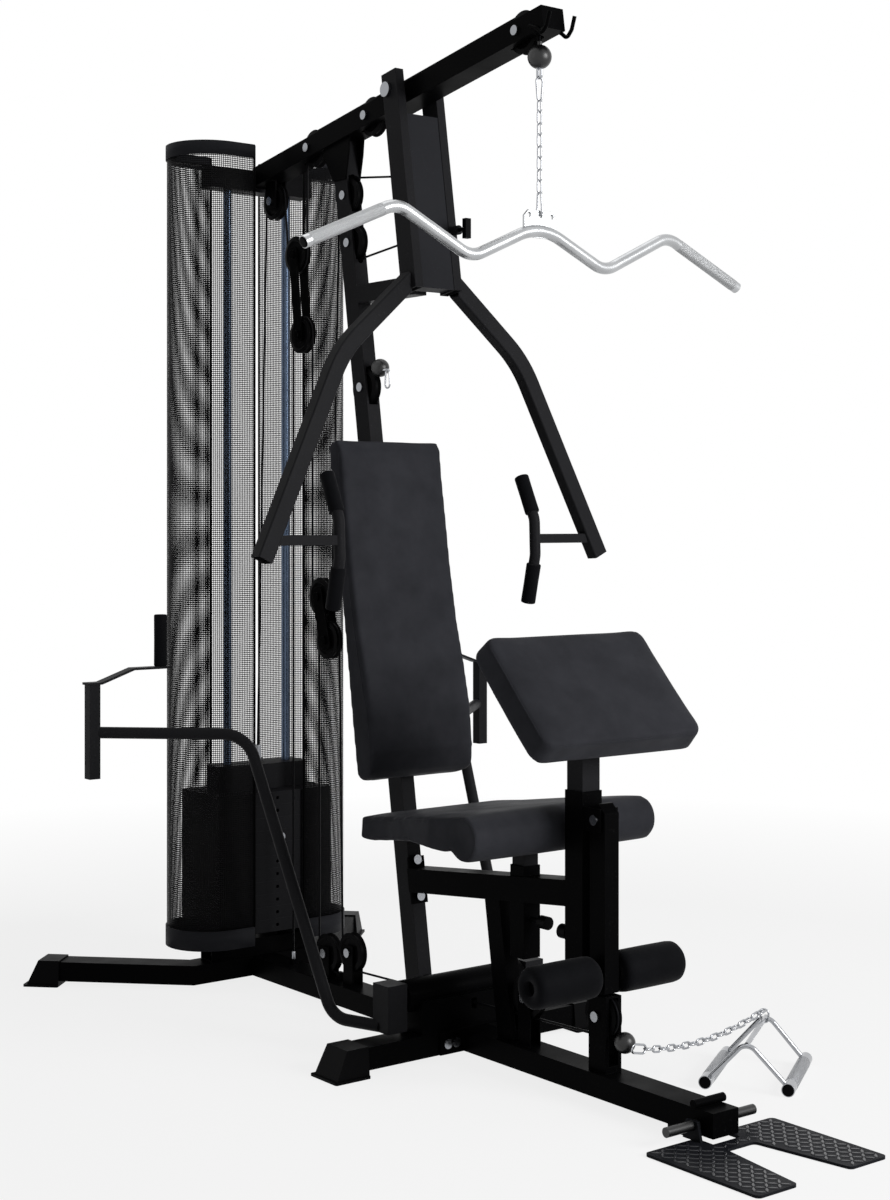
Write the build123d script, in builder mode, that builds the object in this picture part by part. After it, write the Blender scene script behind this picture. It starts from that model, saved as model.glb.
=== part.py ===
"""Multi station home gym: weight stack tower, lat pull-down, press arms, rear arms,
leg lever with foam rollers, curl pad, low pulley and foot plate.

Millimetres. +Z is up, the user sits facing -Y and the tower stands at +Y.
The origin is on the floor, midway between the foot plate and the rear feet.
"""

import os
from math import asin, atan2, cos, hypot, pi, radians, sin, sqrt, tan

from build123d import *

os.makedirs("parts", exist_ok=True)

# ---------------------------------------------------------------- driving dimensions
OVERALL_HEIGHT = 2100.0  # floor to the front end of the top beam
FRONT_REACH = 1042.0  # origin to the front edge of the foot plate
REAR_REACH = 1042.0  # origin to the rear edge of the rear feet

WALL = 2.5  # wall of the frame tubes
GAP = 0.3  # clearance between neighbours that may move apart
FIT = 0.05  # radial running clearance of a pin in its bore

# base
FLOOR_CLEARANCE = 12.0
BASE_HEIGHT = 45.0
BASE_WIDTH = 64.0
BASE_FRONT_Y = -815.0
MID_BAR_Y = -74.0
MID_BAR_HALF = 300.0
REAR_BAR_Y = 732.0
REAR_BAR_KNEE = 180.0
REAR_WING_ANGLE = 45.0
FOOT_LIP = 5.0
FOOT_LENGTH = 84.0
FOOT_FLARE = 14.0
FOOT_ROUND = 5.0
FLANGE = 5.0

# upright and top beam
UPRIGHT_WIDTH = 34.0
UPRIGHT_DEPTH = 48.0
UPRIGHT_LEAN = 8.8
UPRIGHT_FOOT_Y = 75.0  # centre of the upright at the top of the base beam
BEAM_WIDTH = 57.0
BEAM_DEPTH = 45.0
BEAM_RISE = 8.9
BEAM_FRONT_Y = -348.0

# tower
TOWER_Y = 734.0
SHROUD_RADIUS = 100.0
SHROUD_SHIFT = 131.0
SHROUD_OPENING = 69.0
SHROUD_SKIN = 1.2
SHROUD_BOTTOM = 99.0
SHROUD_TOP = OVERALL_HEIGHT - 125.0
BAND = 3.0
TOP_BAND = 32.0
BOTTOM_BAND = 45.0
GUIDE_RADIUS = 10.0
GUIDE_SPACING = 164.0
CROSSBAR_SIDE = 50.0
CROSSBAR_HALF = 140.0
CROSSBAR_TOP_Z = OVERALL_HEIGHT - 170.0
BUMPER_HEIGHT = 27.0

# weight stack
PLATE_WIDTH = 310.0
PLATE_DEPTH = 185.0
PLATE_PITCH = 30.0
RESTING_PLATES = 7
LIFTED_PLATES = 4
CARRIER_WIDTH = 245.0
CARRIER_DEPTH = 78.0
CARRIER_HEIGHT = 60.0
SELECTOR_RADIUS = 9.5
PIN_RADIUS = 4.0

# pulleys and cables
PULLEY_RADIUS = 43.0
PULLEY_WIDTH = 20.0
BOLT_RADIUS = 5.0
GROOVE_RADIUS = 37.5
CABLE_RADIUS = 2.4
BALL_RADIUS = 24.0

# lat bar
LAT_Y = -311.0
LAT_TUBE = 12.0
LAT_CENTRE_Z = OVERALL_HEIGHT - 436.0
LAT_HALF = 556.0

# press arms
PRESS_PIVOT_Y = 114.0
PRESS_PIVOT_Z = OVERALL_HEIGHT - 88.0
PRESS_POST_X = 51.5
PRESS_POST_WIDTH = 21.0
PRESS_POST_DEPTH = 51.0
PRESS_POST_BOTTOM_Z = OVERALL_HEIGHT - 520.0
PRESS_ARM_SIDE = 36.0
PRESS_ARM_END_X = 443.0
PRESS_HANDLE_X = 259.0
GRIP_RADIUS = 16.0
HANDLE_TUBE_RADIUS = 12.0

# rear arms
AXLE_Y = -58.0
AXLE_Z = 130.0
AXLE_RADIUS = 12.0
REAR_ARM_RADIUS = 12.5
REAR_POST_X = 535.0
REAR_POST_SIDE = 25.0

# seat, curl pad and leg lever
SEAT_BEAM_SIDE = 50.0
SEAT_BEAM_RISE = 5.8
SLEEVE_SIDE = 50.0
SLEEVE_WALL = 2.5
FRONT_SLEEVE_Y = -440.0
FRONT_SLEEVE_BOTTOM = 192.0
FRONT_SLEEVE_TOP = 580.0
SEAT_POST_Y = -267.0
SEAT_FRONT_HALF = 235.0
SEAT_REAR_HALF = 190.0
CURL_PAD_HALF = 206.0
CURL_PAD_LENGTH = 274.0
CURL_PAD_THICK = 57.0
CURL_PAD_TILT = 46.7
LEVER_PIVOT_Y = -498.0
LEVER_PIVOT_Z = 531.0
LEVER_WIDTH = 36.0
LEVER_BOTTOM = 205.0
ROLLER_Z = 237.0
ROLLER_RADIUS = 40.0
ROLLER_OUTER_X = 186.0
ROLLER_BAR_RADIUS = 14.0
LOW_PULLEY_Y = -497.0
LOW_PULLEY_Z = 160.0

# back pad
BACK_PAD_BOTTOM = 541.0
BACK_PAD_TOP = 1270.0
BACK_PAD_HALF = 142.0

# foot plate
FOOT_PLATE_HALF = 161.0
FOOT_PLATE_THICK = 5.0
FOOT_ROD_SETBACK = 38.0  # behind the front end of the base beam
FOOT_ROD_RADIUS = 9.0

# chain
LINK_WIRE = 2.0
LINK_INNER = 22.0
LINK_WIDTH = 15.0

# ---------------------------------------------------------------- tied values
BASE_TOP = FLOOR_CLEARANCE + BASE_HEIGHT
BASE_MID_Z = FLOOR_CLEARANCE + BASE_HEIGHT / 2
BASE_BOLTS_X = (-76, -54, 54, 76)
FOOT_ROD_Y = BASE_FRONT_Y + FOOT_ROD_SETBACK
HUB_IN = 156.0
HUB_OUT = 204.0
LOW_ANCHOR = (381.0, 76.0)
STRAP_ANCHOR = (573.2, 70.0)
GUIDE_X = GUIDE_SPACING / 2
LEAN_TAN = tan(radians(UPRIGHT_LEAN))
RISE = radians(BEAM_RISE)
BEAM_END_Y = BEAM_FRONT_Y - BEAM_DEPTH / 2 * sin(RISE)
BEAM_END_Z = OVERALL_HEIGHT - BEAM_DEPTH / 2 * cos(RISE)
BEAM_REAR_Y = TOWER_Y - CROSSBAR_SIDE / 2 - GAP
STACK_BOTTOM = BASE_TOP + CROSSBAR_SIDE - 10 + BUMPER_HEIGHT
STACK_SPLIT = STACK_BOTTOM + RESTING_PLATES * PLATE_PITCH
STACK_TOP = STACK_SPLIT + LIFTED_PLATES * PLATE_PITCH
CABLE_PITCH_RADIUS = GROOVE_RADIUS + CABLE_RADIUS + GAP
LOWER_CROSSBAR_HEIGHT = CROSSBAR_SIDE - 10
SLEEVE_INNER = SLEEVE_SIDE - 2 * SLEEVE_WALL
SLIDE_FIT = 0.4
PIN_REACH = SLEEVE_WALL + SLIDE_FIT - GAP  # from a sleeve's face to the tip of its knob's pin
POST_SIDE = SLEEVE_INNER - 2 * SLIDE_FIT
CURL_KNOB_Z = 299.0


def upright_y(z):
    """Centre of the leaning upright at height z."""
    return UPRIGHT_FOOT_Y + (z - BASE_TOP) * LEAN_TAN


def upright_front(z):
    """Front face of the upright at height z."""
    return upright_y(z) - UPRIGHT_DEPTH / 2 / cos(radians(UPRIGHT_LEAN))


def beam_z(y):
    """Centre line of the top beam at y."""
    return BEAM_END_Z - (y - BEAM_END_Y) * tan(RISE)


def press_front(z):
    """Front face of the press posts, which hang parallel to the upright."""
    return PRESS_PIVOT_Y - 34.0 + (z - PRESS_PIVOT_Z) * LEAN_TAN


# pulley centres as (y, z)
LAT_PULLEY = (LAT_Y + CABLE_PITCH_RADIUS, beam_z(LAT_Y + CABLE_PITCH_RADIUS))
BEAM_MID_PULLEY = (246.0, beam_z(246.0))
BEAM_REAR_PULLEY = (474.0, beam_z(474.0))
TOWER_PULLEY = (649.0, OVERALL_HEIGHT - 250)
STRAP_UPPER_PULLEY = (474.0 + 2 * CABLE_PITCH_RADIUS, OVERALL_HEIGHT - 386)
STRAP_LOWER_PULLEY = (533.0, OVERALL_HEIGHT - 574)
PRESS_UPPER_Z = PRESS_PIVOT_Z - 189
PRESS_LOWER_Z = PRESS_PIVOT_Z - 297
CRUNCH_Z = 1390.0
PRESS_UPPER_PULLEY = (upright_y(PRESS_UPPER_Z) - 5, PRESS_UPPER_Z)
PRESS_LOWER_PULLEY = (upright_y(PRESS_LOWER_Z) - 5, PRESS_LOWER_Z)
CRUNCH_PULLEY = (upright_y(CRUNCH_Z) - 5, CRUNCH_Z)
BACK_UPPER_PULLEY = (STRAP_LOWER_PULLEY[0] - 2 * CABLE_PITCH_RADIUS, 921.0)
BACK_LOWER_PULLEY = (424.0, 823.0)
BASE_REAR_PULLEY = (424.0, 112.0)
BASE_FRONT_PULLEY = (330.0, 130.0)
BASE_MID_PULLEY = (-280.0, 152.0)
LOW_PULLEY = (LOW_PULLEY_Y, LOW_PULLEY_Z)


# ---------------------------------------------------------------- helpers
CHEEK = 3.0  # plates beside a pulley
CHEEK_X = PULLEY_WIDTH / 2 + 1.3


def write(builder, name):
    """Label a finished piece and write it."""
    builder.part.label = name
    export_step(builder.part, f"parts/{name}.step")


def side_plane(x, y, z):
    """Plane facing +X at a point, its local x along +Y and local y along +Z."""
    return Plane((x, y, z), x_dir=(0, 1, 0), z_dir=(1, 0, 0))


def bar(plane, width, depth, length, wall=0.0, mode=Mode.ADD):
    """Square bar or, with a wall, a box tube, along a plane's normal."""
    with BuildSketch(plane) as section:
        Rectangle(width, depth)
        if wall:
            Rectangle(width - 2 * wall, depth - 2 * wall, mode=Mode.SUBTRACT)
    extrude(section.sketch, amount=length, mode=mode)


def block(low, high, mode=Mode.ADD):
    """Box between two corners."""
    size = [b - a for a, b in zip(low, high)]
    plane = Plane((low[0] + size[0] / 2, low[1] + size[1] / 2, low[2]))
    bar(plane, size[0], size[1], size[2], mode=mode)


def x_rod(radius, x_from, x_to, y, z, mode=Mode.ADD):
    """Round bar along X."""
    with BuildSketch(side_plane(x_from, y, z)) as section:
        Circle(radius)
    extrude(section.sketch, amount=x_to - x_from, mode=mode)


def y_rod(radius, y_from, y_to, x, z, mode=Mode.ADD):
    """Round bar along Y."""
    with BuildSketch(Plane((x, y_from, z), x_dir=(1, 0, 0), z_dir=(0, 1, 0))) as section:
        Circle(radius)
    extrude(section.sketch, amount=y_to - y_from, mode=mode)


def z_rod(radius, z_from, z_to, x, y, mode=Mode.ADD):
    """Round bar along Z."""
    with BuildSketch(Plane((x, y, z_from))) as section:
        Circle(radius)
    extrude(section.sketch, amount=z_to - z_from, mode=mode)


def x_bolt(x_half, y, z, x_mid=0.0, radius=BOLT_RADIUS):
    """Bolt along X with a round head and a nut just outside x_mid -/+ x_half."""
    x_rod(radius, x_mid - x_half, x_mid + x_half, y, z)
    x_rod(2 * radius, x_mid - x_half - radius, x_mid - x_half, y, z)
    x_rod(2 * radius, x_mid + x_half, x_mid + x_half + radius, y, z)


def round_tube(points, radii, radius, mode=Mode.ADD):
    """Round bar swept along straight runs joined by tangent arcs."""
    with BuildLine() as route:
        if len(points) > 2:
            FilletPolyline(*points, radius=radii)
        else:
            Line(*points)
    start = route.line @ 0
    with BuildSketch(Plane(origin=start, z_dir=route.line % 0)) as section:
        Circle(radius)
    sweep(section.sketch, path=route.line, mode=mode)


def tilt_up(angle, y, z, x=0.0):
    """Plane at a point whose normal leans back from +Z towards +Y by an angle."""
    lean = radians(angle)
    return Plane((x, y, z), x_dir=(1, 0, 0), z_dir=(0, sin(lean), cos(lean)))


def make_pulley(name, centre):
    """Grooved pulley turning about X."""
    y, z = centre
    half = PULLEY_WIDTH / 2
    profile = [
        (-half - 1, BOLT_RADIUS + FIT),
        (half + 1, BOLT_RADIUS + FIT),
        (half + 1, 12),
        (half - 4, 13),
        (half - 4, GROOVE_RADIUS - 8),
        (half, GROOVE_RADIUS - 4),
        (half - 2, PULLEY_RADIUS),
        (3.2, GROOVE_RADIUS),
        (-3.2, GROOVE_RADIUS),
        (-half + 2, PULLEY_RADIUS),
        (-half, GROOVE_RADIUS - 4),
        (-half + 4, GROOVE_RADIUS - 8),
        (-half + 4, 13),
        (-half - 1, 12),
    ]
    with BuildPart() as pulley:
        with BuildSketch(Plane((0, y, z), x_dir=(1, 0, 0), z_dir=(0, -1, 0))):
            with BuildLine():
                Polyline(*profile, close=True)
            make_face()
        revolve(axis=Axis((0, y, z), (1, 0, 0)))
    write(pulley, name)


def tangent_points(stops):
    """Points where a tight cable meets and leaves each stop, in the YZ plane.

    A stop is (y, z, turn): turn is 0 at an end of the cable, 1 round a pulley that it
    passes counter-clockwise and -1 clockwise, with y to the right and z up.
    """
    meets = [[stop[:2]] if stop[2] == 0 else [] for stop in stops]
    for (index, (y1, z1, s1)), (y2, z2, s2) in zip(enumerate(stops), stops[1:]):
        span = hypot(y2 - y1, z2 - z1)
        heading = atan2(z2 - z1, y2 - y1) - asin((s2 - s1) * CABLE_PITCH_RADIUS / span)
        left = (-sin(heading) * CABLE_PITCH_RADIUS, cos(heading) * CABLE_PITCH_RADIUS)
        if s1:
            meets[index].append((y1 - s1 * left[0], z1 - s1 * left[1]))
        if s2:
            meets[index + 1].append((y2 - s2 * left[0], z2 - s2 * left[1]))
    return meets


def cable(stops, last_run=True):
    """Round cable pulled tight over its stops, with or without the run to the last one."""
    meets = tangent_points(stops)
    with BuildLine() as route:
        for index, (y, z, turn) in enumerate(stops):
            if index and (last_run or index < len(stops) - 1):
                before = meets[index - 1][-1]
                Line((0, *before), (0, *meets[index][0]))
            if turn and len(meets[index]) == 2:
                first, second = [atan2(pz - z, py - y) for py, pz in meets[index]]
                swept = (turn * (second - first)) % (2 * pi)
                middle = first + turn * swept / 2
                over = (y + CABLE_PITCH_RADIUS * cos(middle), z + CABLE_PITCH_RADIUS * sin(middle))
                ThreePointArc((0, *meets[index][0]), (0, *over), (0, *meets[index][1]))
    with BuildSketch(Plane(origin=route.line @ 0, z_dir=route.line % 0)) as section:
        Circle(CABLE_RADIUS)
    sweep(section.sketch, path=route.line)


def rim(centre, side):
    """Point (y, z) of a cable straight above (1) or below (-1) a pulley's centre."""
    return (centre[0], centre[1] + side * CABLE_PITCH_RADIUS)


def pulley_slot(centre, mode=Mode.SUBTRACT):
    """Slot through a tube that lets a pulley turn inside it."""
    y, z = centre
    x_rod(PULLEY_RADIUS + 3, -PULLEY_WIDTH / 2 - 1.6, PULLEY_WIDTH / 2 + 1.6, y, z, mode)


def rope_slot(y, z_from, z_to):
    """Opening in a wall where a cable passes up or down on the centre plane."""
    block((-6, y - 7, z_from), (6, y + 7, z_to), Mode.SUBTRACT)


def pulley_ears(centre, foot_z, half_depth=18.0):
    """Pair of plates standing on a beam that carry a pulley between them."""
    y, z = centre
    for side in (-1, 1):
        x = CHEEK_X if side > 0 else -CHEEK_X - CHEEK
        block((x, y - half_depth, foot_z), (x + CHEEK, y + half_depth, z + 16))
    x_rod(BOLT_RADIUS + FIT, -30, 30, y, z, Mode.SUBTRACT)


# ---------------------------------------------------------------- base frame
with BuildPart() as front_base_beam:
    beam_rear = MID_BAR_Y - BASE_WIDTH / 2 - FLANGE
    bar(Plane((0, BASE_FRONT_Y, BASE_MID_Z), x_dir=(1, 0, 0), z_dir=(0, 1, 0)),
        BASE_WIDTH, BASE_HEIGHT, beam_rear - BASE_FRONT_Y, WALL)
    block((-92, beam_rear, FLOOR_CLEARANCE), (92, beam_rear + FLANGE, BASE_TOP))
    block((-BASE_WIDTH / 2, BASE_FRONT_Y, FLOOR_CLEARANCE),
          (BASE_WIDTH / 2, BASE_FRONT_Y + WALL, BASE_TOP))
    for x in BASE_BOLTS_X:
        y_rod(BOLT_RADIUS + FIT, beam_rear, beam_rear + FLANGE, x, BASE_MID_Z, Mode.SUBTRACT)
    x_rod(FOOT_ROD_RADIUS + FIT, -BASE_WIDTH, BASE_WIDTH, FOOT_ROD_Y, 30, Mode.SUBTRACT)
    # short rod across the top for a strap or a chain
    x_rod(8, -38, 38, BASE_FRONT_Y + 43, BASE_TOP + 7.5)
    pulley_ears(BASE_MID_PULLEY, BASE_TOP)
    # forked post of the low pulley
    post_front, post_rear = LOW_PULLEY_Y - 28, LOW_PULLEY_Y + 20
    block((-20, post_front, BASE_TOP), (20, post_rear, 200))
    pulley_slot(LOW_PULLEY)
    slot_half = PULLEY_WIDTH / 2 + 1.6
    block((-slot_half, post_front - 5, BASE_TOP + 12), (slot_half, post_rear + 5, LOW_PULLEY_Z), Mode.SUBTRACT)
    x_rod(BOLT_RADIUS + FIT, -40, 40, *LOW_PULLEY, Mode.SUBTRACT)
write(front_base_beam, "front_base_beam")

with BuildPart() as mid_stabiliser:
    bar(Plane((-MID_BAR_HALF, MID_BAR_Y, BASE_MID_Z), x_dir=(0, 1, 0), z_dir=(1, 0, 0)),
        BASE_WIDTH, BASE_HEIGHT, 2 * MID_BAR_HALF, WALL)
    for x in BASE_BOLTS_X:
        y_rod(BOLT_RADIUS + FIT, MID_BAR_Y - 50, MID_BAR_Y + 50, x, BASE_MID_Z, Mode.SUBTRACT)
    # housing of the rear arms' axle, with a tunnel for the low cable
    block((-132, MID_BAR_Y - BASE_WIDTH / 2 + 2, BASE_TOP), (132, AXLE_Y + 33, AXLE_Z - 6))
    x_rod(33, -HUB_IN + 4, HUB_IN - 4, AXLE_Y, AXLE_Z)
    x_rod(AXLE_RADIUS + FIT, -HUB_IN, HUB_IN, AXLE_Y, AXLE_Z, Mode.SUBTRACT)
    block((-7, AXLE_Y - 100, AXLE_Z - 38), (7, AXLE_Y + 100, AXLE_Z - 16), Mode.SUBTRACT)
write(mid_stabiliser, "mid_stabiliser")

def shroud_bracket(side, z, rise):
    """Angle from the end of a cross tube to the side of the shroud."""
    reach = SHROUD_SHIFT + sqrt((SHROUD_RADIUS - SHROUD_SKIN) ** 2 - 12**2) - GAP
    xs = sorted((side * 122.0, side * reach))
    block((xs[0], TOWER_Y - 12, z), (xs[1], TOWER_Y + 12, z + 3))
    xs = sorted((side * (reach - 3), side * reach))
    block((xs[0], TOWER_Y - 12, z), (xs[1], TOWER_Y + 12, z + rise))


# The rear bar is bent back at two knees; its wings reach the rear feet.
WING_DIRECTION = (sin(radians(REAR_WING_ANGLE)), cos(radians(REAR_WING_ANGLE)))
FOOT_HALF = BASE_WIDTH / 2 + FOOT_FLARE
WING_TIP_Y = REAR_REACH - FOOT_HALF * WING_DIRECTION[0] + FOOT_ROUND * (sqrt(2) - 1)
WING_LENGTH = (WING_TIP_Y - REAR_BAR_Y) / WING_DIRECTION[1]
WING_TUBE = WING_LENGTH - FOOT_LENGTH + 30

with BuildPart() as rear_base_frame:
    half_turn = radians(REAR_WING_ANGLE) / 2
    outer = BASE_WIDTH / 2
    shift = outer * tan(half_turn)
    for height, inset, mode in ((BASE_HEIGHT, 0, Mode.ADD), (BASE_HEIGHT - 2 * WALL, WALL, Mode.SUBTRACT)):
        half = outer - inset
        knee = half * tan(half_turn)
        along_x = WING_DIRECTION[0] * WING_TUBE
        along_y = WING_DIRECTION[1] * WING_TUBE
        side_x = WING_DIRECTION[1] * half
        side_y = WING_DIRECTION[0] * half
        right = [
            (REAR_BAR_KNEE + knee, REAR_BAR_Y - half),
            (REAR_BAR_KNEE + along_x + side_x, REAR_BAR_Y + along_y - side_y),
            (REAR_BAR_KNEE + along_x - side_x, REAR_BAR_Y + along_y + side_y),
            (REAR_BAR_KNEE - knee, REAR_BAR_Y + half),
        ]
        left = [(-x, y) for x, y in reversed(right)]
        with BuildSketch(Plane.XY.offset(FLOOR_CLEARANCE + inset)) as outline:
            with BuildLine():
                Polyline(*right, *left, close=True)
            make_face()
        extrude(outline.sketch, amount=height, mode=mode)
    # spine from the middle bar to the bent bar, with its bolted flange
    start = MID_BAR_Y + BASE_WIDTH / 2
    bar(Plane((0, start, BASE_MID_Z), x_dir=(1, 0, 0), z_dir=(0, 1, 0)),
        BASE_WIDTH, BASE_HEIGHT, REAR_BAR_Y - BASE_WIDTH / 2 - start, WALL)
    block((-92, start, FLOOR_CLEARANCE), (92, start + FLANGE, BASE_TOP))
    for x in BASE_BOLTS_X:
        y_rod(BOLT_RADIUS + FIT, start, start + FLANGE, x, BASE_MID_Z, Mode.SUBTRACT)
    for centre in (BASE_REAR_PULLEY, BASE_FRONT_PULLEY):
        pulley_ears(centre, BASE_TOP)
    # eyes that hold the ends of two cables
    for y, z in (LOW_ANCHOR, STRAP_ANCHOR):
        block((-6, y - 7, BASE_TOP), (6, y + 7, z))
    # cross tube under the stack, which holds the guide rods
    height = LOWER_CROSSBAR_HEIGHT
    bar(Plane((-CROSSBAR_HALF, TOWER_Y, BASE_TOP + height / 2), x_dir=(0, 1, 0), z_dir=(1, 0, 0)),
        CROSSBAR_SIDE, height, 2 * CROSSBAR_HALF, WALL)
    for side in (-1, 1):
        z_rod(GUIDE_RADIUS + FIT, BASE_TOP + WALL + 2, BASE_TOP + height + 1, side * GUIDE_X, TOWER_Y,
              Mode.SUBTRACT)
        shroud_bracket(side, BASE_TOP + height, 40)
write(rear_base_frame, "rear_base_frame")


def foot(x, y, direction):
    """Flared cap over a bar end; local x points outwards from the bar."""
    dx, dy = direction
    height = BASE_TOP + 3
    plane = Plane((x, y, 0), x_dir=(dx, dy, 0), z_dir=(0, 0, 1))
    length = FOOT_LENGTH
    top_length = length * 0.6
    with BuildSketch(plane) as lip:
        with Locations((length / 2, 0)):
            RectangleRounded(length, 2 * FOOT_HALF, FOOT_ROUND)
    extrude(lip.sketch, amount=FOOT_LIP)
    with BuildSketch(plane.offset(FOOT_LIP)) as base:
        with Locations(((length - 8) / 2, 0)):
            Rectangle(length - 8, 2 * FOOT_HALF - 12)
    with BuildSketch(plane.offset(height)) as top:
        with Locations((top_length / 2, 0)):
            Rectangle(top_length, BASE_WIDTH + 6)
    loft([base.sketch.faces()[0], top.sketch.faces()[0]])
    core = Plane((x - dx, y - dy, BASE_MID_Z), x_dir=(-dy, dx, 0), z_dir=(dx, dy, 0))
    bar(core, BASE_WIDTH, BASE_HEIGHT, 31.0, mode=Mode.SUBTRACT)


with BuildPart() as feet:
    tip = WING_LENGTH - FOOT_LENGTH
    for side in (-1, 1):
        foot(side * (MID_BAR_HALF - 30), MID_BAR_Y, (side, 0))
        foot(side * (REAR_BAR_KNEE + WING_DIRECTION[0] * tip), REAR_BAR_Y + WING_DIRECTION[1] * tip,
             (side * WING_DIRECTION[0], WING_DIRECTION[1]))
    # pad under the front of the base beam
    block((-30, -752, 0), (30, -700, FLOOR_CLEARANCE))
write(feet, "feet")

# ---------------------------------------------------------------- foot plate
PLATE_BACK_Y = FOOT_ROD_Y + 1
NOTCH_DEPTH = 192.0
NOTCH_BACK_HALF = 35.0
NOTCH_FRONT_HALF = 66.0
EAR_X = BASE_WIDTH / 2 + 12

with BuildPart() as foot_plate:
    with BuildSketch():
        with BuildLine():
            Polyline(
                (-FOOT_PLATE_HALF, PLATE_BACK_Y),
                (FOOT_PLATE_HALF, PLATE_BACK_Y),
                (FOOT_PLATE_HALF, -FRONT_REACH),
                (NOTCH_FRONT_HALF, -FRONT_REACH),
                (NOTCH_BACK_HALF, -FRONT_REACH + NOTCH_DEPTH),
                (-NOTCH_BACK_HALF, -FRONT_REACH + NOTCH_DEPTH),
                (-NOTCH_FRONT_HALF, -FRONT_REACH),
                (-FOOT_PLATE_HALF, -FRONT_REACH),
                close=True,
            )
        make_face()
    extrude(amount=FOOT_PLATE_THICK)
    fillet(foot_plate.edges().filter_by(Axis.Z), radius=10)
    # room for the end of the base beam when the plate is folded up
    half = BASE_WIDTH / 2 + 2
    block((-half, BASE_FRONT_Y - 2.5, -1), (half, PLATE_BACK_Y + 1, FOOT_PLATE_THICK + 1), Mode.SUBTRACT)
    for side in (-1, 1):
        with BuildSketch(side_plane(side * EAR_X - 3, FOOT_ROD_Y, FOOT_PLATE_THICK)) as ear:
            with BuildLine():
                Polyline((-22, 0), (22, 0), (14, 34), (-14, 34), close=True)
            make_face()
        extrude(ear.sketch, amount=6)
    x_rod(FOOT_ROD_RADIUS + FIT, -EAR_X - 10, EAR_X + 10, FOOT_ROD_Y, 30, Mode.SUBTRACT)
write(foot_plate, "foot_plate")

# ---------------------------------------------------------------- upright
UPRIGHT_TOP_Z = OVERALL_HEIGHT - 173
CABLE_PASS_Z = 100.0
SEAT_BOLTS_Z = (290.0, 366.0)
SEAT_FLANGE_Z = (279.0, 377.0)
SEAT_FLANGE_WIDTH = 42.0
SHOE_HEIGHT = 34.0
STOP_Z = PRESS_POST_BOTTOM_Z + 17
PAD_STRIP = 5.0
PAD_STRIPS_Z = (700.0, 1080.0)


def across_upright(radius, z, start, end, mode=Mode.ADD):
    """Round bar square to the upright, from start to end behind its centre line at height z."""
    axis = Vector(0, cos(radians(UPRIGHT_LEAN)), -sin(radians(UPRIGHT_LEAN)))
    with BuildSketch(Plane(origin=Vector(0, upright_y(z), z) + axis * start, z_dir=axis)) as disc:
        Circle(radius)
    extrude(disc.sketch, amount=end - start, mode=mode)


with BuildPart() as upright:
    length = (UPRIGHT_TOP_Z - BASE_TOP) / cos(radians(UPRIGHT_LEAN))
    bar(tilt_up(UPRIGHT_LEAN, UPRIGHT_FOOT_Y, BASE_TOP), UPRIGHT_WIDTH, UPRIGHT_DEPTH, length + 60, WALL)
    # trimmed level at the floor beam and square under the top beam
    block((-60, -200, BASE_TOP - 60), (60, 300, BASE_TOP), Mode.SUBTRACT)
    under = Plane((0, BEAM_END_Y, BEAM_END_Z), x_dir=(1, 0, 0), z_dir=(0, sin(RISE), cos(RISE)))
    bar(under.offset(-BEAM_DEPTH / 2), 200, 3000, 400, mode=Mode.SUBTRACT)
    for centre in (PRESS_UPPER_PULLEY, PRESS_LOWER_PULLEY, CRUNCH_PULLEY):
        pulley_slot(centre)
        x_rod(BOLT_RADIUS + FIT, -50, 50, *centre, Mode.SUBTRACT)
    bar(Plane((0, -20, CABLE_PASS_Z), x_dir=(1, 0, 0), z_dir=(0, 1, 0)), 12, 60, 200, mode=Mode.SUBTRACT)
    for y, z in (rim(PRESS_UPPER_PULLEY, 1), rim(PRESS_LOWER_PULLEY, -1), rim(CRUNCH_PULLEY, 1)):
        y_rod(7, y - 60, y, 0, z, Mode.SUBTRACT)
    for z in SEAT_BOLTS_Z:
        across_upright(BOLT_RADIUS + FIT, z, -40, 40, Mode.SUBTRACT)
    # bracket that the press frame comes to rest on
    stop_face = press_front(STOP_Z) + PRESS_POST_DEPTH + 14
    stop_root = upright_front(STOP_Z) + 3
    block((-UPRIGHT_WIDTH / 2, stop_face, STOP_Z - 20), (UPRIGHT_WIDTH / 2, stop_root, STOP_Z + 20))
    # strips that the back pad is screwed to
    for z in PAD_STRIPS_Z:
        bar(tilt_up(UPRIGHT_LEAN, upright_front(z) - PAD_STRIP / 2, z), 120, PAD_STRIP, 60)
    # flanges at the foot, standing on the base beam
    for side in (-1, 1):
        x_in = side * UPRIGHT_WIDTH / 2
        x_out = side * (UPRIGHT_WIDTH / 2 + 4)
        block((min(x_in, x_out), UPRIGHT_FOOT_Y - 42, BASE_TOP),
              (max(x_in, x_out), UPRIGHT_FOOT_Y + 48, BASE_TOP + SHOE_HEIGHT))
write(upright, "upright")

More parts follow.
